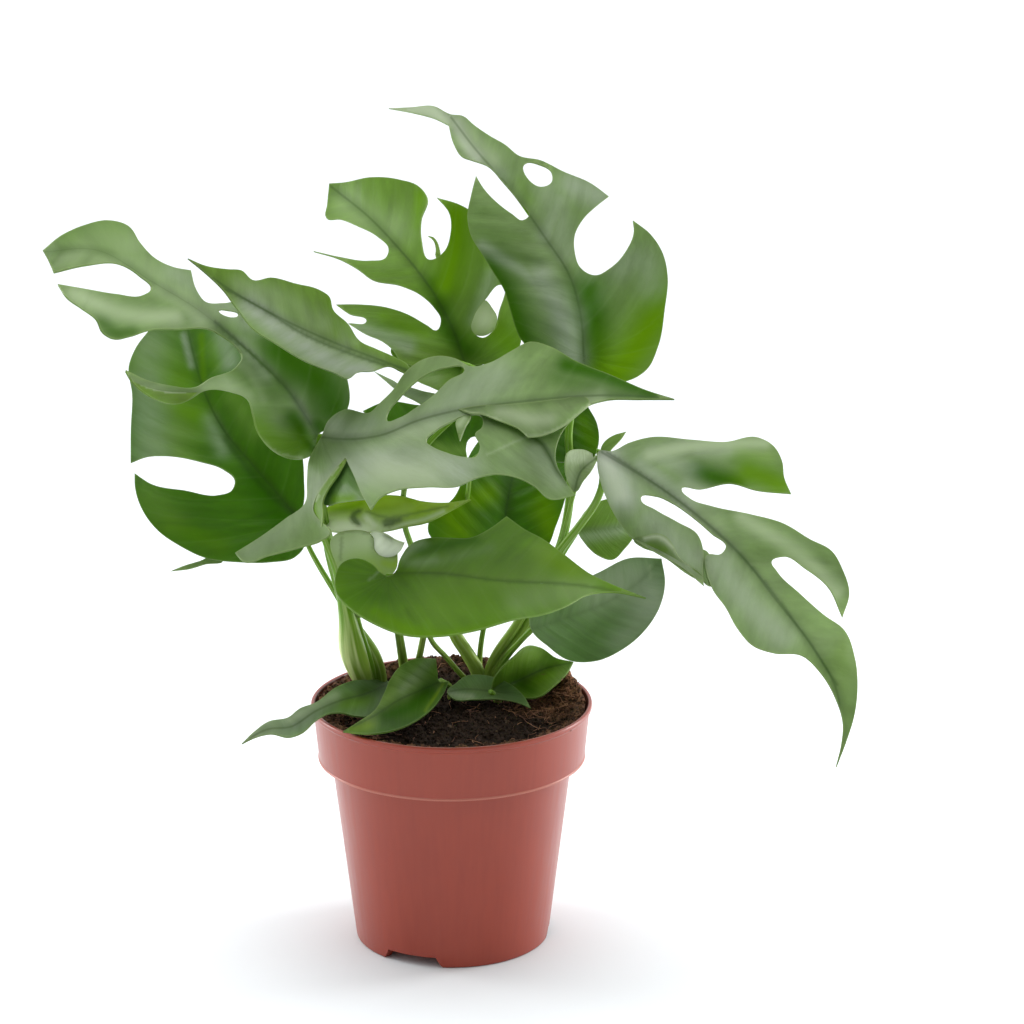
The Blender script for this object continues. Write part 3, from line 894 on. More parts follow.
# Leaves that are still rolled, so that neither midrib nor side veins show.
ROLLED = {"young_rolled", "young_sheath"}

# Leaves whose midrib shows little, and by how much it is faded: what is added to the distance from it.
FADED_RIBS = {"front_heart": 2.2, "round_right": 1.8, "behind_right": 1.2, "far_left": 0.4}


def seen(across, up, depth):
    """The point at this depth on the line from the viewer's eye through (across, 0, up)."""
    reach = 1.0 + depth / SIGHT_DISTANCE
    return np.stack([
        SIGHT_ACROSS + (across - SIGHT_ACROSS) * reach, depth, SIGHT_HEIGHT + (up - SIGHT_HEIGHT) * reach
    ], axis=-1)


def smooth_curve(points, step, closed=False):
    """Points about step apart on a smooth curve through the given ones, which breaks at each tip."""
    sharp = [p[-1] is True for p in points]
    places = np.array([p[:2] if broken else p for p, broken in zip(points, sharp)], dtype=float)
    count = len(places)
    curve = []
    for i in range(count if closed else count - 1):
        start, end = places[i], places[(i + 1) % count]
        chord = end - start
        length = np.linalg.norm(chord)
        before = places[i - 1] if closed or i > 0 else start - chord
        after = places[(i + 2) % count] if closed or i + 2 < count else end + chord
        leave = chord if sharp[i] else direction(before, start, end) * length
        arrive = chord if sharp[(i + 1) % count] else direction(start, end, after) * length
        pieces = max(1, round(length / step))
        for t in np.arange(pieces) / pieces:
            curve.append(
                (2 * t**3 - 3 * t**2 + 1) * start + (t**3 - 2 * t**2 + t) * leave
                + (3 * t**2 - 2 * t**3) * end + (t**3 - t**2) * arrive
            )
    if not closed:
        curve.append(places[-1])
    return np.array(curve)


def direction(before, here, after):
    """Unit tangent at a point between two others, weighted towards the nearer one."""
    back, ahead = here - before, after - here
    back_length, ahead_length = np.linalg.norm(back), np.linalg.norm(ahead)
    tangent = back / back_length**2 + ahead / ahead_length**2
    return tangent / max(np.linalg.norm(tangent), 1e-9)


def midrib(leaf, step):
    """A leaf's midrib as a smooth curve, across and up."""
    return smooth_curve([p[:2] for p in leaf.midrib], step)


def spline_kernel(spots, knots):
    """What each knot of a thin plate does at each spot."""
    distance = np.linalg.norm(spots[:, None] - knots[None], axis=2)
    return distance**2 * np.log(distance + 1e-9)


def depth_field(leaf):
    """A function that gives the blade's depth at places (across, up): a thin plate through the knots."""
    knots = np.array(list(leaf.midrib) + list(leaf.relief), dtype=float)
    places, depths = knots[:, :2] / PLATE_UNIT, knots[:, 2]
    count = len(places)
    plane = np.hstack([np.ones((count, 1)), places])
    bend = spline_kernel(places, places) + STIFFNESS * np.eye(count)
    system = np.block([[bend, plane], [plane.T, np.zeros((3, 3))]])
    weights = np.linalg.solve(system, np.concatenate([depths, np.zeros(3)]))
    rib = midrib(leaf, RIB_STEP)

    def depth(spots):
        scaled = spots / PLATE_UNIT
        plate = spline_kernel(scaled, places) @ weights[:count]
        plate += np.hstack([np.ones((len(spots), 1)), scaled]) @ weights[count:]
        return plate + FOLD * near(distance_to_line(spots, rib), FOLD_REACH)

    return depth


def near(distance, reach):
    """One at no distance, falling softly to nothing beyond reach."""
    return np.exp(-((distance / reach) ** 2))


def distance_to_line(spots, line):
    """Distance from each spot to the nearest point of a line."""
    start, chord = line[:-1], np.diff(line, axis=0)
    offset = spots[:, None] - start[None]
    along = np.clip((offset * chord).sum(2) / (chord**2).sum(1), 0.0, 1.0)
    return np.linalg.norm(offset - along[..., None] * chord, axis=2).min(axis=1)


def clear_of(spots, lines, gap):
    """Which spots are farther than gap from every line."""
    return np.all([distance_to_line(spots, line) > gap for line in lines], axis=0)


def closed_loop(loop):
    """A loop's points with the first one again at the end."""
    return np.vstack([loop, loop[:1]])


def place_on_line(spots, line):
    """How far along a line each spot's nearest point is, and how far the spot lies from the line."""
    start, chord = line[:-1], np.diff(line, axis=0)
    length = np.linalg.norm(chord, axis=1)
    reached = np.concatenate([[0.0], np.cumsum(length)[:-1]])
    offset = spots[:, None] - start[None]
    along = np.clip((offset * chord).sum(2) / length**2, 0.0, 1.0)
    away = np.linalg.norm(offset - along[..., None] * chord, axis=2)
    nearest = away.argmin(axis=1)
    rows = np.arange(len(spots))
    return reached[nearest] + along[rows, nearest] * length[nearest], away[rows, nearest]


def inside(spots, loop):
    """Which spots lie inside a closed loop."""
    x, y = spots[:, 0, None], spots[:, 1, None]
    ax, ay = loop[:, 0], loop[:, 1]
    bx, by = np.roll(ax, -1), np.roll(ay, -1)
    spans = (ay > y) != (by > y)
    rise = np.where(by == ay, 1e-12, by - ay)
    crossings = spans & (x < (bx - ax) * (y - ay) / rise + ax)
    return crossings.sum(axis=1) % 2 == 1


def on_blade(spots, loops):
    """Which spots lie inside a leaf's outline, its first loop, and outside its holes, the others."""
    kept = inside(spots, loops[0])
    for hole in loops[1:]:
        kept &= ~inside(spots, hole)
    return kept


def blade_sheet(leaf, creases):
    """Flat triangulation of a leaf's outline, with edges along its midrib and its creases: its spots, its
    triangles and its loops."""
    loops = [smooth_curve(loop, OUTLINE_STEP, closed=True) for loop in (leaf.outline, *leaf.holes)]
    closed = [closed_loop(loop) for loop in loops]
    lines = [midrib(leaf, LEAF_GRAIN)] + [smooth_curve(line, LEAF_GRAIN) for line in creases]
    low, high = loops[0].min(axis=0), loops[0].max(axis=0)
    rows = np.arange(low[1], high[1], LEAF_GRAIN * GRID_ROW)
    grid = np.array([
        (x + (0.5 * LEAF_GRAIN if row % 2 else 0.0), y)
        for row, y in enumerate(rows)
        for x in np.arange(low[0], high[0], LEAF_GRAIN)
    ])
    grid = grid[on_blade(grid, loops)]
    grid = grid[clear_of(grid, [*lines, *closed], GRID_CLEAR * LEAF_GRAIN)]
    parts, edges, start = list(loops), [], 0
    for loop in loops:
        count = len(loop)
        edges += [(start + i, start + (i + 1) % count) for i in range(count)]
        start += count
    for line in lines:
        kept = np.flatnonzero(on_blade(line, loops) & clear_of(line, closed, RIB_CLEAR * LEAF_GRAIN))
        edges += [(start + i, start + i + 1) for i in range(len(kept) - 1) if kept[i + 1] == kept[i] + 1]
        parts.append(line[kept])
        start += len(kept)
    spots = np.vstack([*parts, grid])
    result = delaunay_2d_cdt([Vector(s) for s in spots], edges, [], 0, 1e-6)
    spots = np.array([tuple(v) for v in result[0]])
    triangles = np.array([tuple(f) for f in result[2]])
    triangles = triangles[on_blade(spots[triangles].mean(axis=1), loops)]
    used = np.unique(triangles)
    index = np.full(len(spots), -1)
    index[used] = np.arange(len(used))
    return spots[used], index[triangles], loops


def vein_pattern(leaf, spots):
    """For each spot, its place in the run of side veins, a whole number on a vein, and its distance from
    the midrib."""
    rib = midrib(leaf, RIB_STEP)
    first, last = rib[0] - rib[1], rib[-1] - rib[-2]
    rib_length = np.linalg.norm(np.diff(rib, axis=0), axis=1).sum()
    rib = np.vstack([
        rib[0] + first / np.linalg.norm(first) * RIB_REACH, rib,
        rib[-1] + last / np.linalg.norm(last) * RIB_REACH,
    ])
    along, side = place_on_line(spots, rib)
    along = along - RIB_REACH - VEIN_CURL * side**2
    turned_from_rib = np.arctan2(side, along)
    first_vein = math.atan2(1.0, VEIN_LEAN)
    ahead = (along - VEIN_LEAN * side) / (rib_length / VEINS_ON_RIB)
    return np.where(ahead > 0.0, ahead, (first_vein - turned_from_rib) / VEIN_FAN), side


def steepness(depth, spots):
    """How much deeper a line of sight gets while it passes one millimetre through a blade's thickness."""
    slopes = [depth(spots + step) - depth(spots - step) for step in STEEP_STEP * np.eye(2)]
    return np.sqrt(1.0 + sum((slope / (2.0 * STEEP_STEP)) ** 2 for slope in slopes))


def vertex_normals(places, triangles):
    """Unit normals of a sheet of triangles at its places."""
    normals = np.zeros_like(places)
    first, second, third = places[triangles].transpose(1, 0, 2)
    for corner in range(3):
        np.add.at(normals, triangles[:, corner], np.cross(second - first, third - first))
    return normals / np.linalg.norm(normals, axis=1)[:, None]


def painted(spots, strokes, kind):
    """How much of one kind of paint lies at each spot: what its strongest stroke leaves there."""
    amount = np.zeros(len(spots))
    for brush in strokes:
        if brush.kind == kind:
            away = distance_to_line(spots, smooth_curve(brush.line, RIB_STEP))
            amount = np.maximum(amount, brush.strength * near(away, brush.width))
    return amount


def blade(leaf, strokes, lift=0.0, hinge=(), veined=True, faded=0.0):
    """A leaf blade as a closed solid: vertices in millimetres, triangles that face outwards, which of them
    are on its back, and what its tissue is like at each vertex. A fold's blade rises by lift towards the
    viewer, the more the farther from its hinge; one without a hinge stands off by lift as a whole."""
    spots, triangles, loops = blade_sheet(leaf, [b.line for b in strokes if b.width < CREASE_WIDTH])
    first, second, third = spots[triangles].transpose(1, 0, 2)
    run, rise = second - first, third - first
    clockwise = run[:, 0] * rise[:, 1] - run[:, 1] * rise[:, 0] < 0.0
    triangles[clockwise] = triangles[clockwise][:, ::-1]
    edge = np.min([distance_to_line(spots, closed_loop(loop)) for loop in loops], axis=0)
    vein, rib = vein_pattern(leaf, spots) if veined else np.full((2, len(spots)), UNVEINED)
    depth = depth_field(leaf)(spots)
    if hinge:
        away = distance_to_line(spots, smooth_curve(hinge, RIB_STEP))
        depth += HINGE_DEPTH - (lift + HINGE_DEPTH) * (1.0 - near(away, HINGE_REACH))
    else:
        depth -= lift
    quilted = (1.0 - near(edge, QUILT_CLEAR)) * (1.0 - near(rib, QUILT_CLEAR))
    depth -= QUILT * (1.0 - np.cos(FULL_TURN * vein)) * quilted
    middle = seen(spots[:, 0], spots[:, 1], depth)
    out = vertex_normals(middle, triangles) * BLADE / 2
    count = len(middle)
    directed = {(a, b) for t in triangles for a, b in zip(t, np.roll(t, -1))}
    rim = [(a, b) for a, b in directed if (b, a) not in directed]
    faces = [tuple(t) for t in triangles]
    faces += [tuple(t[::-1] + count) for t in triangles]
    for a, b in rim:
        faces += [(b, a, a + count), (b, a + count, b + count)]
    on_back = np.zeros(len(faces), dtype=int)
    on_back[len(triangles):2 * len(triangles)] = 1
    tissue = {"vein": vein, "rib": rib + faded, "edge": edge}
    tissue.update({kind: painted(spots, strokes, kind) for kind in BRUSHES})
    tissue = {name: np.tile(values, 2) for name, values in tissue.items()}
    return np.vstack([middle + out, middle - out]), faces, on_back, tissue


def tube(points, radii, sides):
    """A closed tube along points, with a radius at each, in millimetres."""
    points = np.array(points, dtype=float)
    tangents = np.gradient(points, axis=0)
    tangents /= np.linalg.norm(tangents, axis=1)[:, None]
    side = np.cross(tangents[0], ASKEW)
    rings = []
    angles = FULL_TURN * np.arange(sides) / sides
    for place, tangent, radius in zip(points, tangents, radii):
        side = side - tangent * (side @ tangent)
        side /= np.linalg.norm(side)
        up = np.cross(tangent, side)
        rings.append(place + radius * (np.cos(angles)[:, None] * side + np.sin(angles)[:, None] * up))
    vertices = np.vstack(rings)
    faces = []
    for ring in range(len(points) - 1):
        for k in range(sides):
            a, b = ring * sides + k, ring * sides + (k + 1) % sides
            faces.append((a, b, b + sides, a + sides))
    faces.append(tuple(range(sides))[::-1])
    faces.append(tuple(range(len(vertices) - sides, len(vertices))))
    return vertices, faces


def stalk(name, leaf):
    """A leaf's stalk: from the soil to its blade, and on under the midrib, where it thins out."""
    lower, upper = leaf.girth
    depth = depth_field(leaf)
    rib = midrib(leaf, STALK_STEP)
    rib = rib[:max(3, 2 * len(rib) // 3)]
    thinning = np.linspace(upper, STALK_END, len(rib))
    under_depth = depth(rib) + (0.5 * BLADE + UNDER_SHARE * thinning) * steepness(depth, rib)
    route = np.array([*leaf.stalk, (*rib[0], under_depth[0])], dtype=float)
    route = smooth_curve(seen(*route.T).tolist(), STALK_STEP)
    under = seen(rib[1:, 0], rib[1:, 1], under_depth[1:])
    along = np.linspace(0.0, 1.0, len(route))
    girth = lower + (upper - lower) * along
    girth *= 1.0 + NECK_SWELL * near((1.0 - along) * len(route) * STALK_STEP, NECK_REACH)
    sheath = np.zeros(len(route) + len(under))
    if name in SHEATHS:
        height, swell, reach = SHEATHS[name]
        swollen = near(STALK_STEP * np.arange(len(route)) - height, reach)
        girth *= 1.0 + swell * swollen - SHEATH_SLIMMING
        sheath[:len(route)] = swollen
    vertices, faces = tube(
        np.vstack([route, under]), np.concatenate([girth, thinning[1:]]), STALK_SIDES
    )
    heights = np.concatenate([along, np.ones(len(under))])
    return vertices, faces, skin_values(heights, sheath, STALK_SIDES)


def skin_values(heights, sheath, sides):
    """What the stalk's skin reads at each vertex of a tube: how far up the stalk it is and how much of a
    sheath it is, both from 0 to 1, and its place along and around the tube."""
    around = np.tile(FULL_TURN * np.arange(sides) / sides, len(heights))
    return {
        "height": np.repeat(heights, sides),
        "sheath": np.repeat(sheath, sides),
        "along": np.repeat(STALK_STEP * np.arange(len(heights)), sides),
        "around_cos": np.cos(around),
        "around_sin": np.sin(around),
    }


def place_object(name, data):
    """A new object in the scene."""
    thing = bpy.data.objects.new(name, data)
    bpy.context.scene.collection.objects.link(thing)
    return thing


def mesh_object(name, vertices, faces, materials, values=None, sharp=None):
    """A mesh object from vertices in millimetres, with a number at each vertex for each name in values. It
    is shaded smooth, except at edges sharper than this number of degrees."""
    mesh = bpy.data.meshes.new(name)
    mesh.from_pydata((np.array(vertices) * MM).tolist(), [], [tuple(map(int, f)) for f in faces])
    for material in materials:
        mesh.materials.append(material)
    for key, numbers in (values or {}).items():
        layer = mesh.attributes.new(key, "FLOAT", "POINT")
        layer.data.foreach_set("value", np.asarray(numbers, dtype=np.float32))
    if sharp:
        smooth_shade(mesh, sharp)
    return place_object(name, mesh)


def smooth_shade(mesh, degrees):
    """Smooth shading that breaks at sharp edges."""
    mesh.shade_smooth()
    mesh.set_sharp_from_angle(angle=math.radians(degrees))


def turned(profile, steps):
    """A body turned about Z from (radius, height) points that run from pole to pole, bottom first."""
    inner = profile[1:-1]
    angles = FULL_TURN * np.arange(steps) / steps
    vertices = [(0.0, 0.0, profile[0][1])]
    for radius, height in inner:
        vertices += [(radius * math.cos(a), radius * math.sin(a), height) for a in angles]
    vertices.append((0.0, 0.0, profile[-1][1]))
    last = len(vertices) - 1
    faces = []
    for k in range(steps):
        after = (k + 1) % steps
        faces.append((0, 1 + after, 1 + k))
        for ring in range(len(inner) - 1):
            a, b = 1 + ring * steps + k, 1 + ring * steps + after
            faces.append((a, b, b + steps, a + steps))
        faces.append((last, last - steps + k, last - steps + after))
    return vertices, faces


def cut_away(thing, cutters):
    """Cut a collection of others out of thing, and remove them."""
    group = bpy.data.collections.new(thing.name + "_cutters")
    for cutter in cutters:
        bpy.context.scene.collection.objects.unlink(cutter)
        group.objects.link(cutter)
    bpy.context.scene.collection.children.link(group)
    modifier = thing.modifiers.new("cut", "BOOLEAN")
    modifier.operation = "DIFFERENCE"
    modifier.solver = "EXACT"
    modifier.operand_type = "COLLECTION"
    modifier.collection = group
    apply_modifiers(thing)
    for cutter in cutters:
        bpy.data.objects.remove(cutter)
    bpy.data.collections.remove(group)


def apply_modifiers(thing):
    """Turn an object's modifiers into plain mesh."""
    evaluated = thing.evaluated_get(bpy.context.evaluated_depsgraph_get())
    made = bpy.data.meshes.new_from_object(evaluated)
    thing.modifiers.clear()
    thing.data = made


def linear(colour):
    """A hex sRGB colour as linear RGBA."""
    parts = [int(colour[i:i + 2], 16) / 255.0 for i in (1, 3, 5)]
    return (*[p / 12.92 if p <= 0.04045 else ((p + 0.055) / 1.055) ** 2.4 for p in parts], 1.0)


def metres(lengths):
    """Several millimetres in metres."""
    return tuple(length * MM for length in lengths)


def add(tree, kind, values=None, links=None, **settings):
    """Add a node: its settings, the constants of its inputs and what its inputs are linked to, which is an
    output or a node. A node stands for the first of its outputs in use."""
    node = tree.nodes.new(kind)
    for key, value in settings.items():
        setattr(node, key, value)
    for key, value in (values or {}).items():
        node.inputs[key].default_value = value
    for key, source in (links or {}).items():
        if isinstance(source, bpy.types.Node):
            source = next(output for output in source.outputs if output.enabled)
        tree.links.new(source, node.inputs[key])
    return node


def new_material(name, colour):
    """An empty material, with the colour that stands for it in a plain view."""
    material = bpy.data.materials.new(name)
    material.use_nodes = True
    material.node_tree.nodes.clear()
    material.diffuse_color = linear(colour)
    return material, material.node_tree


def leaf_material(name, face, through):
    """Leaf blade: living green tissue under a thin waxy skin, which lets light through and gives a soft,
    broad shine. Side veins and the midrib show as faint lines, the margin is paler, the wax is streaked
    along the veins, and the paint adds patches that are lit through, bloomed or shaded."""
    material, tree = new_material(name, face)
    reads = {}
    for key in ("vein", "rib", "edge", *BRUSHES):
        reads[key] = add(tree, "ShaderNodeAttribute", attribute_name=key).outputs["Fac"]
    place = add(tree, "ShaderNodeTexCoord").outputs["Object"]
    mottle = add(
        tree, "ShaderNodeTexNoise", {"Scale": LEAF_PATCHES, "Detail": 4.0, "Roughness": 0.55},
        {"Vector": place},
    )
    pores = add(tree, "ShaderNodeTexNoise", {"Scale": LEAF_PORES, "Detail": 2.0}, {"Vector": place})
    stretches = (
        (reads["vein"], STREAKS_BETWEEN_VEINS), (reads["rib"], STREAKS_FROM_RIB), (mottle, STREAKS_IN_PATCHES)
    )
    axes = [
        add(tree, "ShaderNodeMath", {1: stretch}, {0: source}, operation="MULTIPLY")
        for source, stretch in stretches
    ]
    drawn_out = add(tree, "ShaderNodeCombineXYZ", {}, dict(enumerate(axes)))
    streaks = add(
        tree, "ShaderNodeTexNoise", {"Scale": 1.0, "Detail": 4.0, "Roughness": 0.6}, {"Vector": drawn_out}
    )
    beside_vein = add(tree, "ShaderNodeMath", {1: 0.5}, {0: reads["vein"]}, operation="PINGPONG")
    # What each ramp reads, from where to where, in millimetres or in shares, and its strength at both ends.
    for key, source, start, end, first, last, curve in (
        ("vein_line", beside_vein, 0.0, 0.09, 1.0, 0.0, "SMOOTHSTEP"),
        ("vein_band", beside_vein, 0.0, 0.5, 0.0, 1.0, "SMOOTHSTEP"),
        ("rib_line", reads["rib"], 0.1, 0.8, 1.0, 0.0, "SMOOTHSTEP"),
        ("rib_band", reads["rib"], 0.3, 4.0, 1.0, 0.0, "SMOOTHSTEP"),
        ("margin", reads["edge"], 0.0, 0.6, 1.0, 0.0, "SMOOTHSTEP"),
        ("clouded", mottle, 0.3, 0.7, 0.84, 1.14, "LINEAR"),
        ("streaked", streaks, 0.3, 0.7, 0.84, 1.16, "LINEAR"),
        ("waxed", streaks, 0.3, 0.65, 0.74, 1.05, "LINEAR"),
    ):
        reads[key] = add(
            tree, "ShaderNodeMapRange",
            {"From Min": start, "From Max": end, "To Min": first, "To Max": last}, {"Value": source},
            interpolation_type=curve,
        )
    tone = add(
        tree, "ShaderNodeMath", {}, {0: reads["clouded"], 1: reads["streaked"]}, operation="MULTIPLY"
    )
    reads["bloom"] = add(
        tree, "ShaderNodeMath", {}, {0: reads["bloom"], 1: reads["waxed"]}, operation="MULTIPLY"
    )
    colour = add(tree, "ShaderNodeVectorMath", {0: linear(face)[:3]}, {1: tone}, operation="MULTIPLY")
    layers = [(key, *BRUSHES[key]) for key in BRUSHES]
    layers += [
        ("vein_band", 0.08, "#3F6114"),
        ("vein_line", 0.04, "#A9BF86"),
        ("rib_band", 0.32, "#35501A"),
        ("rib_line", 0.5, "#2E4718"),
        ("margin", 0.3, "#A4B874"),
    ]
    for key, strength, tint in layers:
        amount = add(tree, "ShaderNodeMath", {1: strength}, {0: reads[key]}, operation="MULTIPLY")
        colour = add(
            tree, "ShaderNodeMix", {"B": linear(tint)}, {"Factor": amount, "A": colour}, data_type="RGBA"
        )
    relief = add(tree, "ShaderNodeMath", {1: 0.1}, {0: pores, 2: streaks}, operation="MULTIPLY_ADD")
    bump = add(tree, "ShaderNodeBump", {"Strength": 0.5, "Distance": 0.6 * MM}, {"Height": relief})
    lit_through = add(
        tree, "ShaderNodeMath", {}, {0: reads["deep"], 1: reads["glow"]}, operation="MAXIMUM"
    )
    gloss = add(tree, "ShaderNodeMapRange", {"To Min": 0.3, "To Max": 0.04}, {"Value": lit_through})
    skin = add(
        tree, "ShaderNodeBsdfPrincipled", {"Roughness": 0.42, "IOR": 1.45},
        {"Base Color": colour, "Specular IOR Level": gloss, "Normal": bump},
    )
    flesh_colour = add(
        tree, "ShaderNodeMix", {"Factor": 0.55, "B": linear(through)}, {"A": colour}, data_type="RGBA"
    )
    flesh = add(tree, "ShaderNodeBsdfTranslucent", {}, {"Color": flesh_colour})
    both = add(tree, "ShaderNodeMixShader", {0: 0.42}, {1: skin, 2: flesh})
    add(tree, "ShaderNodeOutputMaterial", {}, {"Surface": both})
    return material


def stalk_material():
    """Stalk: smooth juicy skin over soft tissue, as it grew, which glows a little and shines softly. It is
    paler at its foot, with fine pale streaks that run lengthwise, and bleached where it is a sheath."""
    material, tree = new_material("green_stalk_skin", "#7FA04B")
    reads = {}
    for key in ("height", "around_cos", "around_sin", "along", "sheath"):
        reads[key] = add(tree, "ShaderNodeAttribute", attribute_name=key).outputs["Fac"]
    climbed = add(
        tree, "ShaderNodeMath", {1: STREAKS_ALONG_STALK}, {0: reads["along"]}, operation="MULTIPLY"
    )
    drawn_out = add(
        tree, "ShaderNodeCombineXYZ", {}, {0: reads["around_cos"], 1: reads["around_sin"], 2: climbed}
    )
    streaks = add(tree, "ShaderNodeTexNoise", {"Scale": 2.2, "Detail": 1.0}, {"Vector": drawn_out})
    lighter_left = add(
        tree, "ShaderNodeMath", {1: LIGHTER_LEFT}, {0: reads["around_cos"], 2: streaks},
        operation="MULTIPLY_ADD",
    )
    # What each ramp reads, from where to where, and its strength at the far end.
    for key, source, start, end, last in (
        ("grown", reads["height"], 0.0, 0.45, 1.0),
        ("spread", streaks, 0.45, 0.68, 0.5),
        ("bleached", lighter_left, 0.42, 0.64, 0.95),
    ):
        reads[key] = add(
            tree, "ShaderNodeMapRange", {"From Min": start, "From Max": end, "To Max": last},
            {"Value": source},
        )
    bleached = add(
        tree, "ShaderNodeMath", {}, {0: reads["bleached"], 1: reads["sheath"]}, operation="MULTIPLY"
    )
    colour = add(
        tree, "ShaderNodeMix", {"A": linear("#96AC4C"), "B": linear("#608A1C")},
        {"Factor": reads["grown"]}, data_type="RGBA",
    )
    for amount, tint in ((reads["spread"], "#B6C980"), (bleached, "#D0DD98")):
        colour = add(
            tree, "ShaderNodeMix", {"B": linear(tint)}, {"Factor": amount, "A": colour}, data_type="RGBA"
        )
    bump = add(tree, "ShaderNodeBump", {"Strength": 0.3, "Distance": 0.3 * MM}, {"Height": streaks})
    skin = add(
        tree, "ShaderNodeBsdfPrincipled",
        {"Roughness": 0.38, "IOR": 1.45, "Specular IOR Level": 0.2, "Subsurface Weight": 0.15,
         "Subsurface Radius": (0.6, 1.0, 0.2), "Subsurface Scale": 1.5 * MM},
        {"Base Color": colour, "Normal": bump},
    )
    add(tree, "ShaderNodeOutputMaterial", {}, {"Surface": skin})
    return material


def pot_material():
    """Pot: brick-red polypropylene, injection-moulded, with a thin glossy skin that gives soft broad
    highlights. Faint streaks are drawn up its wall, the thin line round the collar's foot catches the light,
    and peat dust darkens the inside of the collar."""
    material, tree = new_material("brick_red_moulded_plastic", "#98503F")
    place = add(tree, "ShaderNodeTexCoord").outputs["Object"]
    drawn_out = add(tree, "ShaderNodeMapping", {"Scale": (1.0, 1.0, 0.03)}, {"Vector": place})
    streaks = add(tree, "ShaderNodeTexNoise", {"Scale": POT_STREAKS, "Detail": 3.0}, {"Vector": drawn_out})
    clouds = add(tree, "ShaderNodeTexNoise", {"Scale": POT_CLOUDS, "Detail": 3.0}, {"Vector": place})
    both = add(tree, "ShaderNodeMath", {}, {0: streaks, 1: clouds}, operation="ADD")
    from_bead = add(
        tree, "ShaderNodeVectorMath", {1: metres((0.0, 0.0, COLLAR_FOOT + BEAD))}, {0: place},
        operation="SUBTRACT",
    )
    above = add(tree, "ShaderNodeSeparateXYZ", {}, {0: from_bead}).outputs["Z"]
    away = add(tree, "ShaderNodeMath", {}, {0: above}, operation="ABSOLUTE")
    flat = add(tree, "ShaderNodeVectorMath", {1: (1.0, 1.0, 0.0)}, {0: place}, operation="MULTIPLY")
    radius = add(tree, "ShaderNodeVectorMath", {}, {0: flat}, operation="LENGTH")
    slant = (COLLAR_TOP_RADIUS - COLLAR_FOOT_RADIUS) / (COLLAR_HEIGHT - LIP_HEIGHT)
    inwards = add(tree, "ShaderNodeMath", {1: -slant}, {0: above, 2: radius}, operation="MULTIPLY_ADD")
    reads = {}
    # What each ramp reads, from where to where, in metres or in shares, and its strength at both ends.
    for key, source, start, end, first, last, curve in (
        ("tone", both, 0.75, 1.25, 0.0, 1.0, "LINEAR"),
        ("thin_edge", away, 0.4 * MM, 0.9 * MM, 0.45, 0.0, "SMOOTHSTEP"),
        ("inside_collar", inwards, 56.2 * MM, 56.8 * MM, 0.8, 0.0, "SMOOTHSTEP"),
        ("above_shoulder", above, 2.0 * MM, 4.0 * MM, 0.0, 1.0, "LINEAR"),
        ("rough", streaks, 0.3, 0.7, 0.34, 0.44, "LINEAR"),
    ):
        reads[key] = add(
            tree, "ShaderNodeMapRange",
            {"From Min": start, "From Max": end, "To Min": first, "To Max": last}, {"Value": source},
            interpolation_type=curve,
        )
    dusty = add(
        tree, "ShaderNodeMath", {}, {0: reads["inside_collar"], 1: reads["above_shoulder"]},
        operation="MULTIPLY",
    )
    colour = add(
        tree, "ShaderNodeMix", {"A": linear("#8F321D"), "B": linear("#963721")},
        {"Factor": reads["tone"]}, data_type="RGBA",
    )
    for amount, tint in ((reads["thin_edge"], "#D08A78"), (dusty, "#2C140C")):
        colour = add(
            tree, "ShaderNodeMix", {"B": linear(tint)}, {"Factor": amount, "A": colour}, data_type="RGBA"
        )
    bump = add(tree, "ShaderNodeBump", {"Strength": 0.12, "Distance": 0.2 * MM}, {"Height": streaks})
    skin = add(
        tree, "ShaderNodeBsdfPrincipled",
        {"IOR": 1.49, "Specular IOR Level": 0.4, "Coat Weight": 0.3, "Coat Roughness": 0.15},
        {"Base Color": colour, "Roughness": reads["rough"], "Normal": bump},
    )
    add(tree, "ShaderNodeOutputMaterial", {}, {"Surface": skin})
    return material


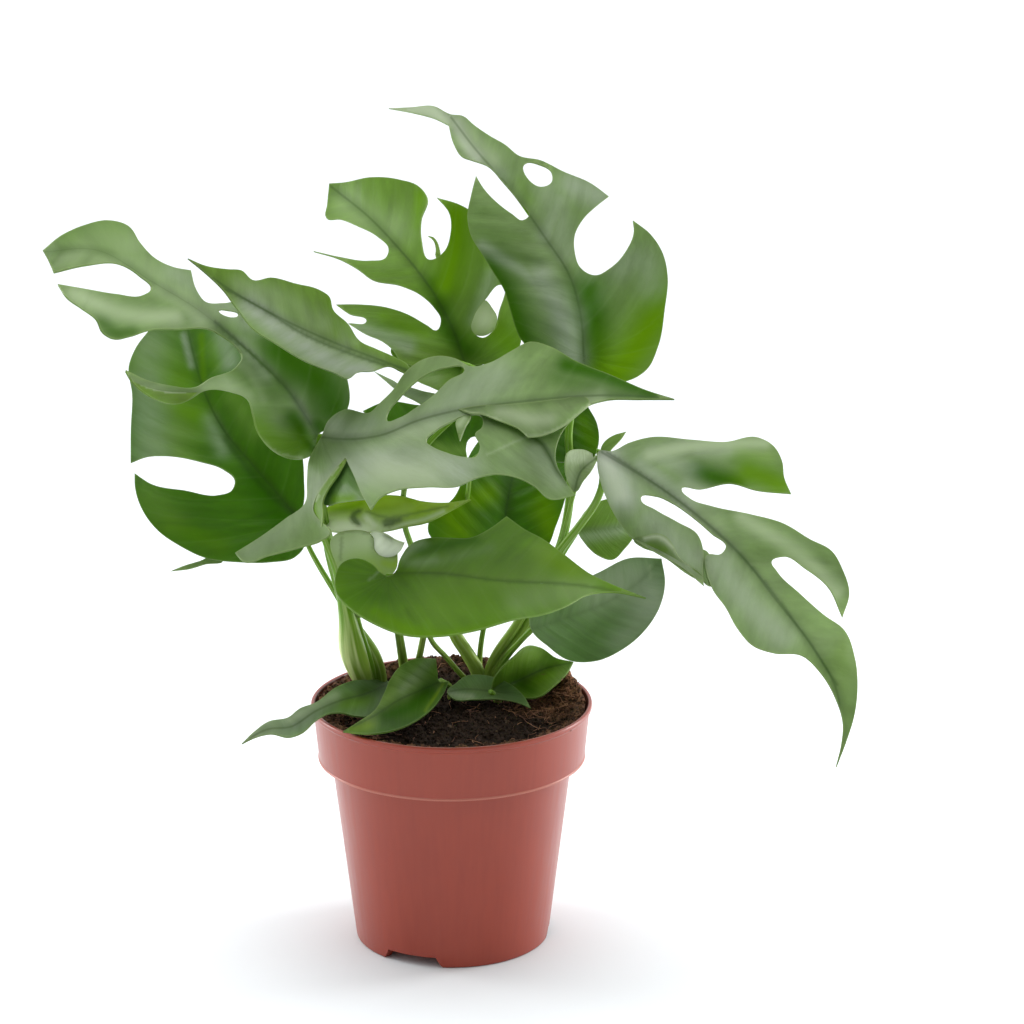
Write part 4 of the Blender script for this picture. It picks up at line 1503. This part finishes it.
def soil_material(name, dark, light, speck):
    """Peat and coir, shredded and packed loosely: matt, rough and nearly black while moist, with brown bits
    and a few pale grains. It has dried to tan tufts on the mound and along the wall."""
    material, tree = new_material(name, dark)
    place = add(tree, "ShaderNodeTexCoord").outputs["Object"]
    bits = add(
        tree, "ShaderNodeTexNoise", {"Scale": PEAT_BITS, "Detail": 5.0, "Roughness": 0.65},
        {"Vector": place},
    )
    grains = add(tree, "ShaderNodeTexVoronoi", {"Scale": PALE_GRAINS}, {"Vector": place})
    picked = add(tree, "ShaderNodeSeparateColor", {}, {0: grains.outputs["Color"]})
    from_mound = add(
        tree, "ShaderNodeVectorMath", {1: metres((MOUND_X, MOUND_Y, SOIL_LEVEL))}, {0: place},
        operation="DISTANCE",
    )
    flat = add(tree, "ShaderNodeVectorMath", {1: (1.0, 1.0, 0.0)}, {0: place}, operation="MULTIPLY")
    radius = add(tree, "ShaderNodeVectorMath", {}, {0: flat}, operation="LENGTH")
    reads = {}
    # What each ramp reads, from where to where, in metres or in shares, and its strength at both ends.
    for key, source, start, end, first, last, curve in (
        ("mounded", from_mound, 14.0 * MM, 34.0 * MM, 0.9, 0.0, "SMOOTHSTEP"),
        ("at_wall", radius, 42.0 * MM, 56.0 * MM, 0.0, 0.45, "SMOOTHSTEP"),
        ("tufts", bits, 0.42, 0.62, 0.15, 1.0, "LINEAR"),
        ("brown", bits, 0.4, 0.72, 0.0, 1.0, "LINEAR"),
        ("rare", picked, 0.975, 0.99, 0.0, 1.0, "LINEAR"),
    ):
        reads[key] = add(
            tree, "ShaderNodeMapRange",
            {"From Min": start, "From Max": end, "To Min": first, "To Max": last}, {"Value": source},
            interpolation_type=curve,
        )
    dried = add(
        tree, "ShaderNodeMath", {}, {0: reads["mounded"], 1: reads["at_wall"]}, operation="MAXIMUM"
    )
    dried = add(tree, "ShaderNodeMath", {}, {0: dried, 1: reads["tufts"]}, operation="MULTIPLY")
    colour = add(
        tree, "ShaderNodeMix", {"A": linear(dark), "B": linear(light)}, {"Factor": reads["brown"]},
        data_type="RGBA",
    )
    for amount, tint in ((dried, "#A27355"), (reads["rare"], speck)):
        colour = add(
            tree, "ShaderNodeMix", {"B": linear(tint)}, {"Factor": amount, "A": colour}, data_type="RGBA"
        )
    bump = add(tree, "ShaderNodeBump", {"Strength": 0.9, "Distance": MM}, {"Height": bits})
    skin = add(
        tree, "ShaderNodeBsdfPrincipled", {"Roughness": 0.85, "IOR": 1.4, "Specular IOR Level": 0.2},
        {"Base Color": colour, "Normal": bump},
    )
    add(tree, "ShaderNodeOutputMaterial", {}, {"Surface": skin})
    return material


def fibre_material():
    """Coir: dry tan fibres combed from coconut husk, each of its own shade, with a faint silky shine."""
    material, tree = new_material("tan_coir_fibre", "#8A6A4C")
    place = add(tree, "ShaderNodeTexCoord").outputs["Object"]
    shades = add(tree, "ShaderNodeTexNoise", {"Scale": COIR_SHADES, "Detail": 2.0}, {"Vector": place})
    tone = add(tree, "ShaderNodeMapRange", {"From Min": 0.35, "From Max": 0.65}, {"Value": shades})
    colour = add(
        tree, "ShaderNodeMix", {"A": linear("#4E2C1C"), "B": linear("#A8795A")}, {"Factor": tone},
        data_type="RGBA",
    )
    skin = add(tree, "ShaderNodeBsdfPrincipled", {"Roughness": 0.7, "IOR": 1.45}, {"Base Color": colour})
    add(tree, "ShaderNodeOutputMaterial", {}, {"Surface": skin})
    return material


def rounded(corner, before, after, radius):
    """Points of a profile round a corner between two others."""
    corner, before, after = np.array(corner), np.array(before), np.array(after)
    start = corner + (before - corner) * radius / np.linalg.norm(before - corner)
    end = corner + (after - corner) * radius / np.linalg.norm(after - corner)
    return [
        tuple((1 - t) ** 2 * start + 2 * t * (1 - t) * corner + t**2 * end)
        for t in np.linspace(0.0, 1.0, EDGE_STEPS + 1)
    ]


def pot(material):
    """The nursery pot: turned wall with rounded edges, notched foot and drained floor."""
    lip_foot = POT_HEIGHT - LIP_HEIGHT
    # Radius, height and rounding of each corner, from the foot ring up the outside and down the inside.
    corners = [
        (FOOT_RADIUS - FOOT_WIDTH, FLOOR_HEIGHT, 0.0),
        (FOOT_RADIUS - FOOT_WIDTH, 0.0, FINE_EDGE),
        (FOOT_RADIUS, 0.0, FOOT_EDGE),
        (BODY_TOP_RADIUS, COLLAR_FOOT, FINE_EDGE),
        (COLLAR_FOOT_RADIUS + BEAD, COLLAR_FOOT, BEAD_EDGE),
        (COLLAR_FOOT_RADIUS + BEAD, COLLAR_FOOT + 2.0 * BEAD, BEAD_EDGE),
        (COLLAR_FOOT_RADIUS, COLLAR_FOOT + 3.0 * BEAD, 0.0),
        (COLLAR_TOP_RADIUS, lip_foot - POT_EDGE, POT_EDGE),
        (LIP_RADIUS, lip_foot, FINE_EDGE),
        (LIP_RADIUS, POT_HEIGHT, POT_EDGE),
        (LIP_RADIUS - LIP_WIDTH, POT_HEIGHT, POT_EDGE),
        (COLLAR_FOOT_RADIUS - WALL, COLLAR_FOOT + WALL, POT_EDGE),
        (BODY_TOP_RADIUS - WALL, COLLAR_FOOT + WALL, POT_EDGE),
        (FOOT_RADIUS - WALL + POT_EDGE, FLOOR_HEIGHT + WALL, POT_EDGE),
    ]
    places = [(0.0, FLOOR_HEIGHT), *(c[:2] for c in corners), (0.0, FLOOR_HEIGHT + WALL)]
    profile = places[:1]
    for i, (radius, height, edge) in enumerate(corners, 1):
        if edge:
            profile += rounded(places[i], places[i - 1], places[i + 1], edge)
        else:
            profile.append((radius, height))
    profile.append(places[-1])
    body = mesh_object("nursery_pot", *turned(profile, POT_STEPS), [material])
    cutters = [notch(NOTCH_FIRST + 360.0 * k / NOTCHES) for k in range(NOTCHES)]
    spots = [(0.0, 0.0)]
    for angle in (FULL_TURN * k / DRAINS for k in range(DRAINS)):
        spots.append((DRAIN_RING * math.cos(angle), DRAIN_RING * math.sin(angle)))
    for x, y in spots:
        route = [(x, y, FLOOR_HEIGHT - WALL), (x, y, FLOOR_HEIGHT + 2.0 * WALL)]
        drain = tube(route, (DRAIN_RADIUS, DRAIN_RADIUS), DRAIN_SIDES)
        cutters.append(mesh_object("drain", *drain, [material]))
    cut_away(body, cutters)
    smooth_shade(body.data, POT_SHARP)
    return body


def notch(angle):
    """A wedge that cuts one notch in the foot ring, centred on this angle."""
    slope = (NOTCH_FOOT_ANGLE - NOTCH_TOP_ANGLE) / NOTCH_HEIGHT
    vertices = []
    for height in (-NOTCH_BELOW, NOTCH_HEIGHT):
        half = (NOTCH_TOP_ANGLE + slope * (NOTCH_HEIGHT - height)) / 2
        for radius in (FOOT_RADIUS - NOTCH_DEPTH, FOOT_RADIUS + NOTCH_DEPTH):
            for turn in np.linspace(-half, half, NOTCH_STEPS):
                a = math.radians(angle + turn)
                vertices.append((radius * math.cos(a), radius * math.sin(a), height))
    n = NOTCH_STEPS
    faces = [(0, n, 3 * n, 2 * n), (n - 1, 3 * n - 1, 4 * n - 1, 2 * n - 1)]
    for k in range(n - 1):
        faces += [
            (k, k + 1, n + k + 1, n + k), (2 * n + k, 3 * n + k, 3 * n + k + 1, 2 * n + k + 1),
            (k, 2 * n + k, 2 * n + k + 1, k + 1), (n + k, n + k + 1, 3 * n + k + 1, 3 * n + k),
        ]
    cutter = mesh_object("notch", vertices, faces, [])
    sheet = bmesh.new()
    sheet.from_mesh(cutter.data)
    bmesh.ops.recalc_face_normals(sheet, faces=sheet.faces)
    sheet.to_mesh(cutter.data)
    sheet.free()
    return cutter


def rising(place, start, ramp):
    """A step from nothing to one at start, softened over ramp."""
    return 1.0 / (1.0 + math.exp((start - place) / ramp))


def soil_height(x, y):
    """Height of the soil's top: level in front, mounded at the back and at the right, with grit."""
    radius = math.hypot(x, y)
    raised = BACK_RISE * rising(y, BACK_START, BACK_RAMP) + WALL_RISE * rising(radius, WALL_START, WALL_RAMP)
    away = math.hypot(x - MOUND_X, y - MOUND_Y)
    mound = MOUND_RISE * math.exp(-(away / MOUND_SPREAD) ** 2 / 2)
    sway = LONG_WAVE_BEND * math.sin(LONG_WAVE_SWAY * y)
    lumps = math.sin(LONG_WAVE_X * x + sway) * math.cos(LONG_WAVE_Y * y + LONG_WAVE_START)
    lumps += SHORT_WAVE_SHARE * math.sin(SHORT_WAVE_X * x - SHORT_WAVE_Y * y + SHORT_WAVE_START)
    grit = noise.fractal(Vector((x, y, 0.0)) / GRIT_SIZE, *GRIT_LAYERS)
    heap = HEAP_RISE * math.exp(-((radius - HEAP_RADIUS) / HEAP_WIDTH) ** 2)
    heap *= rising(y, HEAP_START, HEAP_RAMP)
    return SOIL_LEVEL + min(raised, RIM_RISE) + heap + mound + LUMP_RISE * lumps + GRIT_RISE * grit


def soil(material):
    """The soil: it fills the pot, with a lumpy, gritty top."""
    floor = FLOOR_HEIGHT + WALL + SOIL_GAP
    shoulder = COLLAR_FOOT + WALL + SOIL_GAP
    side = [
        (0.0, floor),
        (FOOT_RADIUS - WALL, floor),
        (BODY_TOP_RADIUS - WALL - SOIL_GAP, shoulder),
        (COLLAR_FOOT_RADIUS - WALL - SOIL_GAP, shoulder),
    ]
    top = [(SOIL_RADIUS * (1.0 - k / SOIL_RINGS), SOIL_LEVEL) for k in range(SOIL_RINGS + 1)]
    vertices, faces = turned(side + top, SOIL_STEPS)
    below = 1 + (len(side) - 1) * SOIL_STEPS
    vertices = vertices[:below] + [(x, y, soil_height(x, y)) for x, y, z in vertices[below:]]
    body = mesh_object("potting_soil", vertices, faces, [material])
    body.data.shade_smooth()
    return body


def scatter_tree(name, build):
    """A Geometry Nodes tree with a density, a seed and a material, whose inside build makes: what it grows
    is made real and given the material."""
    tree = bpy.data.node_groups.new(name, "GeometryNodeTree")
    for socket, kind in (("Geometry", "Geometry"), ("Density", "Float"), ("Seed", "Int"), ("Material",) * 2):
        tree.interface.new_socket(socket, in_out="INPUT", socket_type="NodeSocket" + kind)
    tree.interface.new_socket("Geometry", in_out="OUTPUT", socket_type="NodeSocketGeometry")
    given = add(tree, "NodeGroupInput")
    worn = add(
        tree, "GeometryNodeSetMaterial", {},
        {"Geometry": build(tree, given), "Material": given.outputs["Material"]},
    )
    add(tree, "NodeGroupOutput", {}, {0: worn})
    return tree


def scattered_points(tree, given, reach, thinnest):
    """Random points on the soil's top within reach of the axis, thinner away from the mound."""
    place = add(tree, "GeometryNodeInputPosition")
    height = add(tree, "ShaderNodeSeparateXYZ", {}, {0: place}).outputs["Z"]
    flat = add(tree, "ShaderNodeVectorMath", {1: (1.0, 1.0, 0.0)}, {0: place}, operation="MULTIPLY")
    radius = add(tree, "ShaderNodeVectorMath", {}, {0: flat}, operation="LENGTH")
    inner = add(tree, "FunctionNodeCompare", {"B": reach * MM}, {"A": radius}, operation="LESS_THAN")
    on_top = add(
        tree, "FunctionNodeCompare", {"B": SOIL_TOP * MM}, {"A": height}, operation="GREATER_THAN"
    )
    both = add(tree, "FunctionNodeBooleanMath", {}, {0: inner, 1: on_top}, operation="AND")
    from_mound, from_left = [
        add(tree, "ShaderNodeVectorMath", {1: metres(middle)}, {0: flat}, operation="DISTANCE")
        for middle in ((MOUND_X, MOUND_Y, 0.0), (-MOUND_X, 0.0, 0.0))
    ]
    nearest = add(tree, "ShaderNodeMath", {}, {0: from_mound, 1: from_left}, operation="MINIMUM")
    share = add(
        tree, "ShaderNodeMapRange",
        {"From Min": THICKEST * MM, "From Max": THINNEST * MM, "To Min": 1.0, "To Max": thinnest},
        {"Value": nearest}, interpolation_type="SMOOTHSTEP",
    )
    density = add(
        tree, "ShaderNodeMath", {}, {0: given.outputs["Density"], 1: share}, operation="MULTIPLY"
    )
    return add(
        tree, "GeometryNodeDistributePointsOnFaces", {},
        {"Mesh": given.outputs["Geometry"], "Selection": both, "Density": density,
         "Seed": given.outputs["Seed"]},
    )


def crumbs_grown(tree, given):
    """Small rough crumbs of peat, each turned and sized at random."""
    points = scattered_points(tree, given, CRUMB_REACH, CRUMB_SHARE)
    ball = add(tree, "GeometryNodeMeshIcoSphere", {"Radius": 1.0, "Subdivisions": 1})
    turn = add(
        tree, "FunctionNodeRandomValue", {"Max": (SPIN, SPIN, SPIN)}, {"Seed": given.outputs["Seed"]},
        data_type="FLOAT_VECTOR",
    )
    size = add(
        tree, "FunctionNodeRandomValue",
        {"Min": metres(CRUMB_SMALLEST), "Max": metres(CRUMB_LARGEST), "Seed": CRUMB_SIZE_SEED},
        data_type="FLOAT_VECTOR",
    )
    placed = add(
        tree, "GeometryNodeInstanceOnPoints", {},
        {"Points": points, "Instance": ball, "Rotation": turn, "Scale": size},
    )
    return add(tree, "GeometryNodeRealizeInstances", {}, {0: placed})


def fibres_grown(tree, given):
    """Coir fibres: straight hairs laid at random, bent by a noise field and given thickness."""
    points = scattered_points(tree, given, FIBRE_REACH, FIBRE_SHARE)
    hair = add(tree, "GeometryNodeCurvePrimitiveLine", {"Start": (-0.5, 0.0, 0.0), "End": (0.5, 0.0, 0.0)})
    hair = add(tree, "GeometryNodeResampleCurve", {"Count": FIBRE_POINTS}, {"Curve": hair})
    turn = add(
        tree, "FunctionNodeRandomValue",
        {"Min": (-FIBRE_TILT, -FIBRE_ROLL, 0.0), "Max": (FIBRE_TILT, FIBRE_ROLL, SPIN),
         "Seed": FIBRE_TURN_SEED},
        data_type="FLOAT_VECTOR",
    )
    length = add(
        tree, "FunctionNodeRandomValue",
        {"Min": FIBRE_SHORTEST * MM, "Max": FIBRE_LONGEST * MM, "Seed": FIBRE_LENGTH_SEED},
    )
    placed = add(
        tree, "GeometryNodeInstanceOnPoints", {},
        {"Points": points, "Instance": hair, "Rotation": turn, "Scale": length},
    )
    real = add(tree, "GeometryNodeRealizeInstances", {}, {0: placed})
    place = add(tree, "GeometryNodeInputPosition")
    bend = add(tree, "ShaderNodeTexNoise", {"Scale": COIR_BENDS, "Detail": 1.0}, {"Vector": place})
    centred = add(
        tree, "ShaderNodeVectorMath", {1: NOISE_MIDDLE}, {0: bend.outputs["Color"]}, operation="SUBTRACT"
    )
    offset = add(tree, "ShaderNodeVectorMath", {1: metres(FIBRE_BEND)}, {0: centred}, operation="MULTIPLY")
    bent = add(tree, "GeometryNodeSetPosition", {}, {"Geometry": real, "Offset": offset})
    ring = add(
        tree, "GeometryNodeCurvePrimitiveCircle", {"Resolution": FIBRE_SIDES, "Radius": FIBRE_RADIUS * MM}
    )
    return add(tree, "GeometryNodeCurveToMesh", {"Fill Caps": True}, {"Curve": bent, "Profile Curve": ring})


def scattered(name, ground, build, density, seed, material):
    """What a scatter tree grows on the ground, as an object of its own."""
    thing = place_object(name, ground.data.copy())
    modifier = thing.modifiers.new("scatter", "NODES")
    modifier.node_group = scatter_tree(name + "_scatter", build)
    given = {"Density": density, "Seed": seed, "Material": material}
    for item in modifier.node_group.interface.items_tree:
        if item.in_out == "INPUT" and item.name in given:
            modifier[item.identifier] = given[item.name]
    apply_modifiers(thing)
    return thing


def crown(name, material):
    """The short rounded foot of a leafy stem."""
    x, y, radius, top = CROWNS[name]
    heights = list(np.linspace(CROWN_FOOT, top - radius / 2, CROWN_RINGS))
    radii = [radius] * CROWN_RINGS
    for turn in np.linspace(0.0, CAP_TURN, CAP_RINGS)[1:]:
        heights.append(heights[CROWN_RINGS - 1] + radius * math.sin(turn) * CAP_FLATNESS)
        radii.append(radius * math.cos(turn))
    vertices, faces = tube([(x, y, height) for height in heights], radii, CROWN_SIDES)
    level = np.zeros(len(radii))
    values = skin_values(level, level, CROWN_SIDES)
    return mesh_object(name + "_foot", vertices, faces, [material], values, STALK_SHARP)


def hand_over(piece, slot_name, *nodes):
    """Make a piece part of the plant, in a material slot of the record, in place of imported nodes."""
    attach(piece, "root")
    if nodes:
        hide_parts(*nodes)


def grow_plant():
    """Every blade, stalk, foot and fold."""
    faces, backs = [
        {name: leaf_material(name + side, c[number], c[2]) for name, c in TISSUES.items()}
        for number, side in enumerate(("_leaf_face", "_leaf_back"))
    ]
    skin = stalk_material()
    for stem, leaves in STEMS.items():
        hand_over(crown(stem, skin), "leaf", stem)
        for name in leaves:
            leaf = LEAVES[name]
            both = [faces[TISSUE_OF[name]], backs[TISSUE_OF[name]]]
            vertices, triangles, on_back, values = blade(
                leaf, PAINT.get(name, []), veined=name not in ROLLED, faded=FADED_RIBS.get(name, 0.0)
            )
            piece = mesh_object(name + "_blade", vertices, triangles, both, values, BLADE_SHARP)
            piece.data.polygons.foreach_set("material_index", on_back)
            hand_over(piece, "leaf", stem)
            vertices, quads, values = stalk(name, leaf)
            piece = mesh_object(name + "_stalk", vertices, quads, [skin], values, STALK_SHARP)
            hand_over(piece, "leaf", stem)
    for name, curl in CURLS.items():
        leaf = LEAVES[curl.parent]._replace(outline=curl.outline, holes=())
        vertices, triangles, on_back, values = blade(leaf, PAINT.get(name, []), curl.lift, curl.hinge)
        piece = mesh_object(name, vertices, triangles, [faces[curl.tissue]], values, BLADE_SHARP)
        hand_over(piece, "leaf")


def fill_pot():
    """The pot, its soil and what lies on it."""
    hand_over(pot(pot_material()), "pot", "pot")
    ground = soil(soil_material("moist_peat", "#1C130D", "#37271D", "#4E4034"))
    hand_over(ground, "soil", "soil")
    skin = soil_material("peat_crumb", "#1E150E", "#3C2A1F", "#503D30")
    hand_over(scattered("peat_crumbs", ground, crumbs_grown, CRUMBS, CRUMB_SEED, skin), "soil")
    fibres = scattered("coir_fibres", ground, fibres_grown, FIBRES, FIBRE_SEED, fibre_material())
    fibres.data.shade_smooth()
    hand_over(fibres, "soil")


def light_studio():
    """A white room that is dimmer behind the camera, with a soft box at each side and a ceiling of light."""
    world = bpy.data.worlds.new("white_room")
    bpy.context.scene.world = world
    world.use_nodes = True
    tree = world.node_tree
    tree.nodes.clear()
    ray = add(tree, "ShaderNodeTexCoord").outputs["Generated"]
    parts = add(tree, "ShaderNodeSeparateXYZ", {}, {0: ray}).outputs
    sideways = add(tree, "ShaderNodeMath", {}, {0: parts["X"]}, operation="ABSOLUTE")
    folded = add(tree, "ShaderNodeCombineXYZ", {}, {0: sideways, 1: parts["Y"], 2: parts["Z"]})
    away = add(tree, "ShaderNodeVectorMath", {1: ROOM_SLOPE}, {0: folded}, operation="DOT_PRODUCT")
    strength = add(
        tree, "ShaderNodeMapRange",
        {"From Min": ROOM_DIM_FROM, "From Max": ROOM_BRIGHT_FROM, "To Min": ROOM_DIM, "To Max": ROOM_BRIGHT},
        {"Value": away}, interpolation_type="SMOOTHSTEP",
    )
    glow = add(tree, "ShaderNodeBackground", {"Color": (1.0, 1.0, 1.0, 1.0)}, {"Strength": strength})
    add(tree, "ShaderNodeOutputWorld", {}, {"Surface": glow})
    for name, (place, power) in SIDE_BOXES.items():
        lamp = bpy.data.lights.new(name, "AREA")
        lamp.shape = "RECTANGLE"
        lamp.size, lamp.size_y = BOX_SIZE
        lamp.energy = power
        box = place_object(name, lamp)
        box.location = place
        box.rotation_euler = (Vector(BOX_TARGET) - Vector(place)).to_track_quat("-Z", "Y").to_euler()
    sun = bpy.data.lights.new("ceiling_light", "SUN")
    sun.energy = CEILING_POWER
    sun.angle = math.radians(CEILING_SPREAD)
    place_object("ceiling_light", sun).rotation_euler = (math.radians(CEILING_TILT), 0.0, 0.0)


def lay_floor():
    """White studio floor: a sheet of matt, uncoated paper, which gives soft shadows and no shine."""
    material, tree = new_material("white_studio_paper", "#F2F2F2")
    paper = add(tree, "ShaderNodeBsdfPrincipled", {"Base Color": linear("#DCE1E4"), "Roughness": 0.9})
    add(tree, "ShaderNodeOutputMaterial", {}, {"Surface": paper})
    reach = FLOOR_REACH
    corners = [(-reach, -reach, 0.0), (reach, -reach, 0.0), (reach, reach, 0.0), (-reach, reach, 0.0)]
    mesh_object("studio_floor", corners, [(0, 1, 2, 3)], [material])


def place_camera():
    """The camera, at the viewer's eye that the leaves were drawn from."""
    lens = bpy.data.cameras.new("camera")
    lens.lens = LENS
    lens.sensor_width = SENSOR
    camera = place_object("camera", lens)
    camera.location = CAMERA_PLACE
    camera.rotation_euler = (math.radians(90.0 - CAMERA_PITCH), 0.0, 0.0)
    bpy.context.scene.camera = camera


place_camera()
light_studio()
lay_floor()
fill_pot()
grow_plant()
bpy.context.scene.view_settings.view_transform = "Standard"
